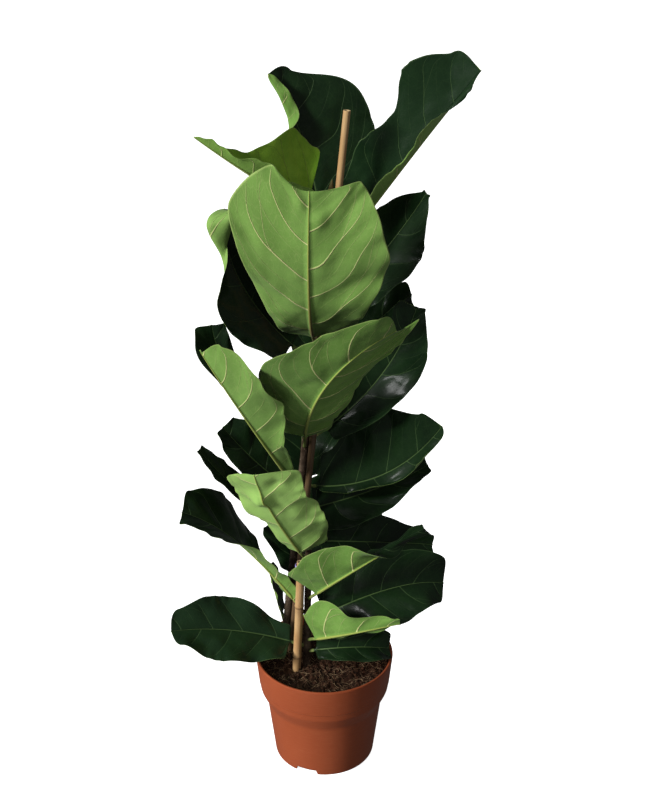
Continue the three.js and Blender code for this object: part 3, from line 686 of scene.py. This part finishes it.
def addTie():
    # rounded strip carried round the belt line that touches both the short stake and the short stem
    rods, turns = (stakes["short"], stems["short"]), 40
    centre = np.stack([pointAt(rod, tie["height"]) for rod in rods])[:, :2]
    gap = centre[1] - centre[0]
    distance, direction = np.hypot(*gap), np.arctan2(gap[1], gap[0])
    reach = np.array([rod["radius"] for rod in rods]) + 0.6
    lean = np.arccos((reach[0] - reach[1]) / distance)
    first = np.linspace(lean, 2 * np.pi - lean, turns)
    second = np.linspace(-lean, lean, turns)
    angle = np.concatenate([first, second]) + direction
    hub = np.repeat(centre, turns, axis=0)
    inner = np.repeat(reach, turns)
    section = np.linspace(0, 2 * np.pi, 16, endpoint=False)
    thick = tie["band"] / 2 * np.sign(np.cos(section)) * np.abs(np.cos(section)) ** 0.5
    tall = tie["width"] / 2 * np.sign(np.sin(section)) * np.abs(np.sin(section)) ** 0.5
    radius = inner[:, None] + tie["band"] / 2 + thick[None]
    x = hub[:, :1] + radius * np.cos(angle)[:, None]
    y = hub[:, 1:] + radius * np.sin(angle)[:, None]
    points = np.stack([x, y, tie["height"] + tall[None] + 0 * x], -1)
    points = np.concatenate([points, points[:1]])
    faces = gridFaces(len(points), len(section))[:, ::-1]
    addPiece("tieLoop", points, faces, [tieLook()], ["tie_band"])


# Leaves

leafShape = {
    "thickness": 0.9, "petioleRadius": 2.3, "footRadius": 2.8, "ribDepth": 2.6, "ribTipDepth": 0.4,
    "minHalf": 1.2, "arcSteps": 12, "foldSpan": 0.3, "rows": 88, "petioleRows": 12,
    "veinGap": 50, "quilt": 2.6, "pucker": 0.3, "billow": 1.3, "ripple": 1.6, "uneven": 0.022,
    "ribHalf": 1.9, "ribTipHalf": 0.55, "ribShare": 0.15, "tipPoint": 1.2,
    # how the side veins run: climb for each mm outwards, its bend, the hook at the margin, the offset of
    # the right side, the wander, and where and how fast a fork leaves its vein
    "climb": 0.50, "climbBend": 0.0030, "hook": 0.35, "stagger": 0.38, "wander": 0.10,
    "forkStart": 0.48, "forkLead": 1.1,
}
fiddle = (0.5, 0.66, 0.92, 1, 0.76)  # a plain leaf's shares of its half width at the five places
# A leaf grows at a height on its stem, its underside faces the compass direction back, and its midrib
# goes through mid to tip. half is its width to each side at five places from base to tip, or else width
# sets it. cup and curl bend each half up, fold says where the curl is, lobe is how far a side reaches
# past its row, and warm is how brown the midrib is. pale lifts the leaf's colour towards a paler tint:
# partly the leaf's own tone and partly painted light, most of all on leaf 16, which faces away from the
# light. A pair is left and right, seen from above with the tip pointing away. Dents are small hollows: place
# along the blade, millimetres to the right of the midrib, radius and depth.
leafDefaults = {
    "petiole": 35, "roll": 0, "twist": 0, "width": 100, "half": None, "cup": 12, "curl": 10, "fold": None,
    "wave": 7, "waves": 2.6, "phase": 0, "lobe": 0.2, "warm": 0.25, "pale": 0.05, "dents": (),
}
leaves = {
    "01_top_back": dict(
        stem="tall", height=800, back=95, petiole=45, mid=(-26, 78, 937), tip=(-73, 92, 1028),
        half=((30, 46, 50, 30, 20), (50, 82, 99, 86, 28)), cup=(12, 8), curl=((0, 0, 0, 160, 160), 10),
        fold=0.4, phase=1, lobe=(0.05, 0.08)),
    "02_top_right": dict(
        stem="tall", height=775, back=65, petiole=75, mid=(117, 38, 934), tip=(198, 12, 1046),
        half=((54, 62, 57, 78, 46), (14, 20, 18, 14, 16)), cup=(20, 60),
        curl=(25, (50, 50, 40, 10, -60)), phase=2, lobe=(0.14, 0.02), pale=0.35),
    "03_top_young": dict(
        stem="tall", height=850, back=200, mid=(-79, -15, 911), tip=(-161, -40, 974),
        half=((22, 28, 24, 16, 6), (82, 86, 50, 12, 5)), cup=(50, 50), curl=(20, 25), wave=6, lobe=0.05),
    "04_top_front": dict(
        stem="tall", height=672, back=270, petiole=52, mid=(-19, -70, 765), tip=(-18, -85, 917),
        half=((62, 78, 103, 90, 66), (41, 59, 82, 99, 46)), cup=0, wave=5, lobe=(0.32, 0.5), warm=1,
        pale=0.27, dents=((0.86, -14, 12, 4), (0.72, -42, 24, -5), (0.93, 10, 9, 2.5))),
    "05_upper_left": dict(
        stem="tall", height=640, back=110, petiole=40, mid=(-108, 25, 752), tip=(-132, 25, 864),
        half=((46, 62, 58, 34, 68), (34, 50, 56, 54, 36)), cup=10, curl=((10, 10, 10, 120, 150), 15),
        fold=(0.45, None), pale=0.4),
    "06_upper_right": dict(
        stem="tall", height=690, back=80, mid=(84, 60, 796), tip=(137, 45, 880),
        half=((26, 40, 48, 38, 5), (36, 54, 62, 46, 8)), cup=10, curl=15, wave=5),
    "07_upper_right_small": dict(
        stem="tall", height=622, back=90, mid=(72, 84, 680), tip=(124, 80, 724), width=56,
        cup=10, curl=15, wave=3),
    "08_middle_front": dict(
        stem="tall", height=505, back=270, petiole=40, mid=(2, -65, 646), tip=(94, -70, 728),
        half=((38, 50, 55, 54, 32), (50, 70, 92, 58, 40)), cup=5, curl=15, wave=4, lobe=(0.5, 0.12)),
    "09_middle_right": dict(
        stem="tall", height=515, back=90, mid=(72, 38, 606), tip=(128, 30, 724),
        half=((36, 48, 50, 44, 28), (30, 46, 52, 46, 14)), cup=10, curl=15),
    "10_right_glossy": dict(
        stem="tall", height=445, back=70, petiole=24, mid=(81, 22, 466), tip=(166, -2, 557),
        half=((50, 88, 92, 80, 34), (12, 18, 24, 24, 14)), cup=(22, 5), curl=(12, 80), fold=(None, 0.8),
        lobe=(0.15, 0.05)),
    "11_right_shaded": dict(
        stem="tall", height=400, back=90, petiole=22, mid=(72, 45, 430), tip=(152, 40, 474),
        half=((44, 54, 54, 42, 20), (44, 50, 42, 26, 12)), wave=5),
    "12_left_front": dict(
        stem="tall", height=432, back=225, petiole=58, mid=(-104, -45, 585), tip=(-162, -60, 693),
        half=((16, 36, 54, 58, 32), (12, 16, 20, 18, 12)), cup=30, pale=0.25),
    "13_left_back": dict(
        stem="tall", height=530, back=90, petiole=80, mid=(-121, 45, 606), tip=(-157, 50, 690),
        half=((14, 24, 29, 33, 26), (12, 18, 20, 22, 20)), wave=4),
    "14_left_small": dict(
        stem="tall", height=430, back=100, mid=(-92, 30, 478), tip=(-145, 30, 541),
        half=((30, 36, 32, 24, 16), (40, 44, 42, 38, 22)), wave=5),
    "15_left_narrow": dict(
        stem="tall", height=360, back=150, mid=(-119, 0, 449), tip=(-177, -5, 522),
        half=(14, 20, 22, 18, 10), wave=2),
    # pale here is mostly painted light: it brightens a leaf that faces away from the light
    "16_low_front": dict(
        stem="short", height=328, back=265, petiole=30, mid=(-73, -50, 444), tip=(-96, -76, 519),
        half=((48, 66, 62, 60, 60), (18, 28, 42, 50, 48)), wave=4, lobe=(0.02, 0.05),
        pale=0.75, dents=((0.74, 8, 15, 11), (0.86, -24, 12, -5), (0.5, -34, 16, 4))),
    "17_low_left": dict(
        stem="short", height=238, back=150, petiole=34, mid=(-119, 5, 357), tip=(-206, -5, 421),
        roll=95, twist=-110, half=((17, 32, 42, 38, 26), (20, 40, 60, 58, 36)), wave=4),
    "18_low_left_back": dict(
        stem="tall", height=190, back=170, petiole=25, mid=(-70, 54, 225), tip=(-86, 58, 286),
        width=46, wave=2),
    "19_right_front": dict(
        stem="short", height=268, back=270, petiole=33, mid=(40, -50, 348), tip=(145, -25, 404), roll=-10,
        half=((14, 18, 20, 18, 12), (58, 66, 44, 26, 16)), cup=(50, 6),
        curl=(20, (10, 10, 10, -150, -150)), fold=(None, 0.4), wave=5, pale=0),
    "20_right_broad": dict(
        stem="short", height=228, back=80, petiole=28, mid=(92, -5, 288), tip=(179, 10, 290),
        half=((46, 50, 54, 52, 38), (46, 52, 55, 46, 30)), cup=(8, 0), curl=(10, 0), lobe=(0.2, 0.12)),
    "21_right_back": dict(
        stem="tall", height=350, back=90, mid=(100, 62, 330), tip=(166, 68, 322),
        half=((30, 40, 40, 30, 14), (30, 32, 34, 28, 14)), wave=5),
    "22_base_front": dict(
        stem="short", height=200, back=285, petiole=25, mid=(31, -56, 244), tip=(110, -64, 268),
        roll=-38, half=((10, 13, 14, 12, 8), (46, 62, 34, 16, 10)), cup=(30, 12), wave=5),
    "23_base_left": dict(
        stem="short", height=188, back=120, petiole=26, mid=(-130, -15, 222), tip=(-227, -40, 239),
        half=((36, 48, 54, 47, 26), (24, 37, 51, 47, 32)), wave=5, lobe=0.06, pale=0.5),
    "24_base_right": dict(
        stem="short", height=180, back=60, petiole=14, mid=(39, -25, 199), tip=(98, -15, 190),
        half=((20, 30, 34, 32, 22), (16, 22, 24, 24, 18)), wave=3),
    "25_back_high": dict(
        stem="tall", height=720, back=100, mid=(-33, 100, 784), tip=(-55, 130, 826), width=110),
    "26_back_middle": dict(
        stem="tall", height=570, back=80, mid=(-2, 108, 636), tip=(18, 137, 694), width=120),
    "27_back_low": dict(
        stem="tall", height=420, back=90, mid=(-34, 105, 476), tip=(-34, 128, 556),
        half=((64, 70, 74, 74, 56), (36, 50, 70, 74, 56))),
    "28_back_right": dict(
        stem="tall", height=300, back=75, mid=(30, 118, 355), tip=(60, 156, 405), width=130),
    "29_back_base": dict(
        stem="tall", height=250, back=100, mid=(-54, 84, 312), tip=(-78, 110, 345), width=74, wave=5),
}
leafColours = {
    # dark, light, side veins, midrib, and the paler tint that pale lifts a leaf towards, which is partly
    # painted light
    "leafUpper": ((0.0024, 0.0086, 0.0028), (0.0058, 0.018, 0.0048), (0.055, 0.10, 0.036),
                  (0.078, 0.13, 0.042), (0.013, 0.036, 0.014)),
    "leafUnder": ((0.088, 0.19, 0.028), (0.132, 0.262, 0.048), (0.58, 0.60, 0.25), (0.32, 0.40, 0.085),
                  (0.30, 0.50, 0.125)),
    "youngUpper": ((0.15, 0.33, 0.018), (0.26, 0.48, 0.040), (0.30, 0.40, 0.09), (0.33, 0.42, 0.10),
                   (0.26, 0.48, 0.040)),
    "youngUnder": ((0.16, 0.32, 0.045), (0.22, 0.40, 0.075), (0.48, 0.54, 0.20), (0.36, 0.46, 0.12),
                   (0.30, 0.50, 0.125)),
}
stalkColours = {
    "brownRib": (0.135, 0.085, 0.022), "dark": (0.115, 0.175, 0.040), "light": (0.19, 0.23, 0.07),
    "fleck": (0.14, 0.09, 0.04),
}


def perSide(value):
    return value if isinstance(value, tuple) and len(value) == 2 else (value, value)


def alongBlade(value, s):
    # a plain number, or a smooth curve through five values that stand at 0.1, 0.3, 0.5, 0.7 and 0.9
    if not isinstance(value, tuple):
        return value + 0 * s
    knots = np.array(value, float)
    place = np.clip((s - 0.1) / 0.2, 0, 4)
    i = np.minimum(place.astype(int), 3)
    t = place - i
    p0, p1, p2, p3 = knots[np.maximum(i - 1, 0)], knots[i], knots[i + 1], knots[np.minimum(i + 2, 4)]
    bend = 2 * p0 - 5 * p1 + 4 * p2 - p3 + t * (3 * p1 - p0 - 3 * p2 + p3)
    return p1 + 0.5 * t * (p2 - p0 + t * bend)


def bySide(value, s, side):
    # rows along the blade, and in each column the value of the side that the column is on
    left, right = perSide(value)
    return np.stack([alongBlade(left, s), alongBlade(right, s)], 1)[:, side]


def midribPath(leaf):
    # parabola from the stem through mid to tip, with the distance walked along it
    start = pointAt(stems[leaf["stem"]], leaf["height"])
    mid, tip = np.array(leaf["mid"], float), np.array(leaf["tip"], float)
    control = 2 * mid - (start + tip) / 2
    q = np.linspace(0, 1, 601)[:, None]
    point = (1 - q) ** 2 * start + 2 * q * (1 - q) * control + q * q * tip
    along = unit((1 - q) * (control - start) + q * (tip - control))
    walked = np.concatenate([[0], np.cumsum(np.linalg.norm(np.diff(point, axis=0), axis=1))])
    return point, along, walked


def frameAt(leaf, path, distance):
    # place, direction, upper side and right hand on the midrib at each distance
    point, along, walked = path
    place = np.stack([np.interp(distance, walked, point[:, k]) for k in range(3)], -1)
    along = unit(np.stack([np.interp(distance, walked, along[:, k]) for k in range(3)], -1))
    back = np.radians(leaf["back"])
    face = np.array([-np.cos(back), -np.sin(back), 1])
    up = unit(face - along * (along @ face)[:, None])
    right = np.cross(along, up)
    turn = np.radians(leaf["roll"] + leaf["twist"] * distance / walked[-1])[:, None]
    return place, along, up * np.cos(turn) + right * np.sin(turn), right * np.cos(turn) - up * np.sin(turn)


def bladeSurface(leaf, path, s, t, seed):
    # Each half leaves the midrib at the cup angle and bends by the curl, summed in short steps outwards. The
    # margin waves and reaches past its row by the lobe, and cushions of blade rise between the side veins.
    length = path[2][-1] - leaf["petiole"]
    place, along, up, right = frameAt(leaf, path, leaf["petiole"] + s * length)
    side, hand, row = (t > 0).astype(int), np.sign(t)[None], s[:, None]
    closing = np.sqrt(1 - (1 - np.minimum(1, s / 0.1)) ** 2)
    closing = closing * np.sqrt(1 - np.maximum(0, (s - 0.9) / 0.1) ** 2)
    outline = leaf["half"] or tuple(leaf["width"] / 2 * k for k in fiddle)
    uneven = 1 + leafShape["uneven"] * ripple(row * length, 40.0 * side[None], 46, seed + 3)
    half = np.maximum(bySide(outline, s, side) * closing[:, None] * uneven, leafShape["minHalf"])
    ribHalf = leafShape["ribHalf"] * (1 - row) + leafShape["ribTipHalf"]
    ribPart = np.minimum(1.2 * ribHalf / half, 0.35)
    ribShare = leafShape["ribShare"]
    onRib = np.minimum(np.abs(t) / ribShare, 1)[None]
    u = ribPart * onRib + (1 - ribPart) * np.maximum(np.abs(t) - ribShare, 0)[None] / (1 - ribShare)

    spans = [(0.5, 1.0) if k is None else (k, leafShape["foldSpan"]) for k in perSide(leaf["fold"])]
    fold, span = np.array(spans)[side].T[:, None, :, None]
    outward = u[..., None] * (np.arange(leafShape["arcSteps"]) + 0.5) / leafShape["arcSteps"]
    bent = np.clip((outward - fold) / span + 0.5, 0, 1)
    cup, curl = bySide(leaf["cup"], s, side)[..., None], bySide(leaf["curl"], s, side)[..., None]
    angle = np.radians(cup + curl * bent)
    across = half * u * np.cos(angle).mean(-1)
    rise = half * u * np.sin(angle).mean(-1)
    reach = bySide(leaf["lobe"], s, side) * row ** 2 * (1 - row ** 8) - 0.03 * (1 - row) ** 4
    swing = 2 * np.pi * leaf["waves"] * row + leaf["phase"] + 1.9 * side
    calm = np.sin(np.pi * np.clip(row, 0, 1)) ** 0.4
    rise = rise + leaf["wave"] * u ** 2 * np.sin(swing) * calm

    # side veins leave the midrib in turn left and right, bend up towards the tip, and every second one forks
    x, walk = u * half, row * length
    spacing = length / max(3.0, round(length / leafShape["veinGap"]))
    climb = leafShape["climb"] * x + leafShape["climbBend"] * x ** 2
    climb = climb + spacing * leafShape["hook"] * ramp(u, 0.8, 1.1)
    vein = (walk - climb) / spacing + leafShape["stagger"] * side
    vein = vein + leafShape["wander"] * ripple(walk, x * hand, 90, seed)
    fork = vein - leafShape["forkLead"] * np.maximum(x - leafShape["forkStart"] * half, 0) / spacing
    cushion = np.abs(np.sin(np.pi * vein)) ** 0.7 - 0.6
    fade = ramp(x, 2, 16) * (1 - ramp(u, 0.75, 1.0))
    rise = rise + leafShape["quilt"] * cushion * fade
    rise = rise + leafShape["pucker"] * ripple(walk, x * hand, 17, seed + 1) * ramp(x, 2, 12)
    rise = rise + leafShape["billow"] * ripple(walk, x * hand, 60, seed + 4) * ramp(x, 3, 25)
    edge = np.sin(walk / 5.2 + 3 * ripple(walk, 0 * walk, 60, seed + 2) + 2.5 * side)
    rise = rise + leafShape["ripple"] * edge * u ** 5 * calm
    for station, aside, size, depth in leaf["dents"]:
        # a round hollow with a low ring about it: (q - 1) exp(-q), where q is the squared distance over size
        q = ((walk - station * length) ** 2 + (x * hand - aside) ** 2) / size ** 2
        rise = rise + depth * (0.6 * q - 1) * np.exp(-q)
    middle = place[:, None] + along[:, None] * (length * u ** 2 * reach)[..., None]
    middle = middle + right[:, None] * (across * hand)[..., None] + up[:, None] * rise[..., None]
    fields = {"u": u, "x": x * hand, "walk": walk + 0 * x, "vein": vein, "fork": fork, "ribHalf": ribHalf,
              "spacing": spacing + 0 * x, "s": row + 0 * x}
    return middle, fields, (place, along, up, right)


def addLeaf(key, looks, number):
    # One closed skin of rings: a place inside the bark, the stalk, then the blade, where each ring goes
    # along the upper face and back under the lower one, and a place past the tip.
    leaf = {**leafDefaults, **leaves[key]}
    rod, path = stems[leaf["stem"]], midribPath(leaf)
    foot, top, upright = axisOf(rod)[:3]
    station = (leaf["height"] - foot[2]) / (top[2] - foot[2])
    stemRadius = rod["radius"] + (rod["topRadius"] - rod["radius"]) * station
    onAxis = foot + np.clip((path[0] - foot) @ upright, 0, None)[:, None] * upright
    away = np.linalg.norm(path[0] - onAxis, axis=1)
    stalkStart = path[2][np.argmax(away > stemRadius - 0.6)]
    leaf["petiole"] = max(leaf["petiole"], path[2][np.argmax(away > stemRadius + 3.1)] + 4)

    ribShare = leafShape["ribShare"]
    t = np.concatenate([np.linspace(0, ribShare, 4), np.linspace(ribShare, 0.985, 17)[1:], [1.0]])
    t = np.concatenate([-t[::-1], t[1:]])
    ringSize = 2 * len(t)
    s = (1 - np.cos(np.pi * np.linspace(0, 1, leafShape["rows"]))) / 2
    middle, f, (place, along, up, right) = bladeSurface(leaf, path, s, t, 40 + 10 * number)
    normal = unit(np.cross(np.gradient(middle, axis=1), np.gradient(middle, axis=0)))
    thick = leafShape["thickness"] / 2 * np.sqrt(np.clip(1.05 - f["u"] ** 14, 0.08, 1))
    ribDepth = (leafShape["ribDepth"] * (1 - s) + leafShape["ribTipDepth"])[:, None]
    rib = ribDepth * np.sqrt(np.clip(1 - (f["x"] / f["ribHalf"]) ** 2, 0, 1))
    groove = 0.35 * np.exp(-(f["x"] / (0.6 * f["ribHalf"])) ** 2)
    upper = middle + normal * (thick - groove)[..., None]
    lower = middle - normal * (thick + rib)[..., None]
    blade = np.concatenate([upper, lower[:, ::-1]], axis=1)

    # the stalk is a tube that starts inside the bark and turns into the blade's first rows
    walk = np.linspace(stalkStart, leaf["petiole"], leafShape["petioleRows"])
    centre, _, stalkUp, stalkRight = frameAt(leaf, path, walk)
    flare = (leafShape["footRadius"] - leafShape["petioleRadius"]) * np.exp(-(walk - walk[0]) / 4)
    radius = leafShape["petioleRadius"] + flare[:, None]
    stalk = tube(centre, stalkRight, stalkUp, radius, ringSize)
    thin = leafShape["petioleRadius"] * (1 - 0.5 * s)[:, None]
    melt = (1 - ramp(f["walk"][:, 0], 0, 12))[:, None, None]
    blade = blade * (1 - melt) + tube(place, right, up, thin, ringSize) * melt
    heel = np.broadcast_to(stalk[0].mean(0), (1, ringSize, 3))
    point = np.broadcast_to(place[-1] + along[-1] * leafShape["tipPoint"], (1, ringSize, 3))
    points = np.concatenate([heel, stalk[:-1], blade, point])

    def onRings(values, stalkValue):
        both = np.concatenate([values, values[:, ::-1]], axis=1)
        before = np.broadcast_to(stalkValue, (leafShape["petioleRows"], ringSize))
        return np.concatenate([before, both, both[-1:]])

    alongStalk = np.concatenate([[walk[0]], walk[:-1]])[:, None] - leaf["petiole"]
    tone = np.random.default_rng(number).uniform(0.0, 1.0)
    veins = np.stack([onRings(f["vein"], -3.0), onRings(f["fork"], -3.0), onRings(f["spacing"], 50.0)], -1)
    ribPlace = np.abs(f["x"]) / f["ribHalf"]
    where = np.stack([onRings(f["u"], 0.0), onRings(ribPlace, 0.0), onRings(f["s"], 0.0)], -1)
    flat = np.ones_like(f["s"])
    tones = [onRings(flat * tone, tone), onRings(leaf["warm"] * (1 - f["s"]), leaf["warm"])]
    # the third tone is pale: partly the leaf's own tone, partly painted light
    tones = np.stack([*tones, onRings(flat * leaf["pale"], 0.0)], -1)
    measure = np.stack([onRings(f["walk"], alongStalk), onRings(f["x"], 0.0)], -1)
    faces = gridFaces(len(points), ringSize)
    ringOf, columnOf = np.divmod(np.arange(len(faces)), ringSize)
    lookOf = np.where(columnOf < ringSize // 2, 0, 1)
    lookOf = np.where(ringOf < leafShape["petioleRows"] - 1, 2, lookOf)
    addPiece("blade_" + key, points, faces, looks, ["leaf_" + key], lookOf,
             {"leafVeins": veins, "leafPlace": where, "leafTone": tones}, measure / 100 + number * 3.7)


def veinGroup():
    # masks from the leaf's own fields: side veins with their forks, midrib, margin, fine net and blotches
    names = {"Veins": "NodeSocketVector", "Place": "NodeSocketVector", "Map": "NodeSocketVector",
             "Width": "NodeSocketFloat"}
    outs = {k: "NodeSocketFloat" for k in ("Veins", "Rib", "RibLine", "Margin", "Net", "Cells", "Blotch")}
    tree, given, result = newGroup("leafVeins", names, outs)
    lines = axes(tree, given["Veins"])
    place = axes(tree, given["Place"])
    phase, fork, spacing, u = lines["X"], lines["Y"], lines["Z"], place["X"]
    taper = calc(tree, "SUBTRACT", 1.0, calc(tree, "MULTIPLY", u, 0.5))
    width = calc(tree, "MULTIPLY", given["Width"], taper)

    def lineMask(value, thinness):
        gap = calc(tree, "MULTIPLY", calc(tree, "PINGPONG", value, 0.5), spacing)
        mask = spread(tree, calc(tree, "DIVIDE", gap, width), 0.25 * thinness, thinness, 1.0, 0.0)
        return calc(tree, "MULTIPLY", mask, spread(tree, value, -0.3, -0.1))

    side = calc(tree, "MULTIPLY", lineMask(phase, 1.0), spread(tree, u, 0.9, 1.0, 1.0, 0.15))
    second = calc(tree, "FLOORED_MODULO", calc(tree, "ROUND", fork), 2.0)
    forked = calc(tree, "MULTIPLY", lineMask(fork, 0.75), second)
    forked = calc(tree, "MULTIPLY", forked, spread(tree, u, 0.85, 1.0, 0.85, 0.0))
    between = lineMask(calc(tree, "ADD", phase, 0.5), 0.5)
    between = calc(tree, "MULTIPLY", between, spread(tree, u, 0.2, 0.6, 0.1, 0.4))
    allVeins = calc(tree, "MAXIMUM", calc(tree, "MAXIMUM", side, forked), between)
    wire(tree, result, Veins=allVeins, Rib=spread(tree, place["Y"], 0.75, 1.25, 1.0, 0.0),
         RibLine=spread(tree, place["Y"], 0.25, 0.65, 1.0, 0.0), Margin=spread(tree, u, 0.975, 0.995))

    def combine(operation, *values):
        inputs = dict(enumerate(values))
        return put(tree, "ShaderNodeVectorMath", inputs, operation=operation).outputs[0]

    def cellEdges(where, scale):
        inputs = {"Vector": where, "Scale": scale}
        return put(tree, "ShaderNodeTexVoronoi", inputs, feature="DISTANCE_TO_EDGE").outputs["Distance"]

    onLeaf = combine("MULTIPLY", given["Map"], (1.0, 1.0, 0.0))
    shift = put(tree, "ShaderNodeTexNoise", {"Vector": onLeaf, "Scale": 9.0, "Detail": 2.0}).outputs["Color"]
    bent = combine("MULTIPLY_ADD", shift, (0.06, 0.06, 0.0), onLeaf)
    wide, small = cellEdges(bent, 13.0), cellEdges(bent, 46.0)
    wideMask, smallMask = spread(tree, wide, 0.0, 0.05, 1.0, 0.0), spread(tree, small, 0.0, 0.09, 0.45, 0.0)
    blotch = spread(tree, noise(tree, onLeaf, 3.0, 3.0, 0.6), 0.3, 0.7)
    wire(tree, result, Net=calc(tree, "MAXIMUM", wideMask, smallMask), Blotch=blotch,
         Cells=spread(tree, small, 0.0, 0.4))
    return tree


def leafInputs(tree, group, width):
    fields = {k: put(tree, "ShaderNodeAttribute", attribute_name="leaf" + k).outputs["Vector"]
              for k in ("Veins", "Place", "Tone")}
    place = put(tree, "ShaderNodeUVMap", uv_map="pieceMap").outputs["UV"]
    given = {"Veins": fields["Veins"], "Place": fields["Place"], "Map": place, "Width": width}
    return placeGroup(tree, group, given), axes(tree, fields["Tone"])


def upperLook(name, group):
    # glossy face: dark green, thin sunk veins, a paler line along the margin and fine leathery cells
    dark, light, veinColour, ribColour, paleTintAndPaintedLight = leafColours[name]
    look, tree, shader = newLook(name, Specular_IOR_Level=0.2, Coat_Weight=0.2, Coat_Roughness=0.17)
    veins, tone = leafInputs(tree, group, 1.1)
    tint = blendColour(tree, veins["Blotch"], dark, light)
    tint = wash(tree, tint, tone["X"], 0.35, light)
    # pale lifts the colour: partly the leaf's own tone, partly painted light
    tint = blendColour(tree, tone["Z"], tint, paleTintAndPaintedLight)
    for mask, share, colour in (("Net", 0.07, veinColour), ("Veins", 0.62, veinColour),
                                ("RibLine", 0.75, ribColour), ("Margin", 0.6, veinColour)):
        tint = wash(tree, tint, veins[mask], share, colour)
    sunk = calc(tree, "MULTIPLY", calc(tree, "MAXIMUM", veins["Veins"], veins["Rib"]), -1.0)
    normal = bump(tree, sunk, 0.0006, 0.9)
    wire(tree, shader.inputs, Base_Color=tint, Roughness=spread(tree, veins["Blotch"], 0.0, 1.0, 0.38, 0.5),
         Normal=bump(tree, veins["Cells"], 0.0002, 0.5, normal))
    return look


def underLook(name, group):
    # matt face: pale green with raised cream veins, a midrib that is brown at its base, and a faint net
    dark, light, veinColour, ribColour, paleTintAndPaintedLight = leafColours[name]
    look, tree, shader = newLook(name, Specular_IOR_Level=0.3, Sheen_Weight=0.06, Sheen_Roughness=0.5)
    veins, tone = leafInputs(tree, group, 1.8)
    tint = blendColour(tree, veins["Blotch"], dark, light)
    tint = wash(tree, tint, tone["X"], 0.3, light)
    # pale lifts the colour: partly the leaf's own tone, partly painted light
    tint = blendColour(tree, tone["Z"], tint, paleTintAndPaintedLight)
    ribTint = blendColour(tree, tone["Y"], ribColour, stalkColours["brownRib"])
    for mask, share, colour in (("Net", 0.10, veinColour), ("Veins", 0.85, veinColour),
                                ("Rib", 0.95, ribTint), ("Margin", 0.22, veinColour)):
        tint = wash(tree, tint, veins[mask], share, colour)
    normal = bump(tree, calc(tree, "MAXIMUM", veins["Veins"], veins["Rib"]), 0.0011, 0.9)
    wire(tree, shader.inputs, Base_Color=tint, Roughness=spread(tree, veins["Blotch"], 0.0, 1.0, 0.5, 0.64),
         Normal=bump(tree, veins["Net"], 0.0002, 0.5, normal))
    return look


def stalkLook():
    look, tree, shader = newLook("leafStalk", Roughness=0.5)
    marks = grainMarks(tree, 700.0, 60.0)[1]
    tint = blendColour(tree, marks["Cloud"], stalkColours["dark"], stalkColours["light"])
    tint = blendColour(tree, spread(tree, marks["Speck"], 0.6, 1.0, 0.0, 0.4), tint, stalkColours["fleck"])
    wire(tree, shader.inputs, Base_Color=tint, Normal=bump(tree, marks["Speck"], 0.0002, 0.5))
    return look


def addPlant():
    barkFinish, caneFinish = barkLook(), bambooLook()
    for name, rod in stems.items():
        leafHeights = [leaf["height"] for leaf in leaves.values() if leaf["stem"] == name]
        addStem(name, rod, leafHeights, barkFinish)
    addBud(sheathLook())
    for name, rod in stakes.items():
        addStake(name, rod, caneFinish)
    addTie()
    print("stems, bud, stakes and tie")
    group, stalk = veinGroup(), stalkLook()
    grown = [upperLook("leafUpper", group), underLook("leafUnder", group), stalk]
    young = [upperLook("youngUpper", group), underLook("youngUnder", group), stalk]
    for number, key in enumerate(leaves):
        addLeaf(key, young if key.endswith("young") else grown, number)
    print("leaves:", len(leaves))


addPlant()
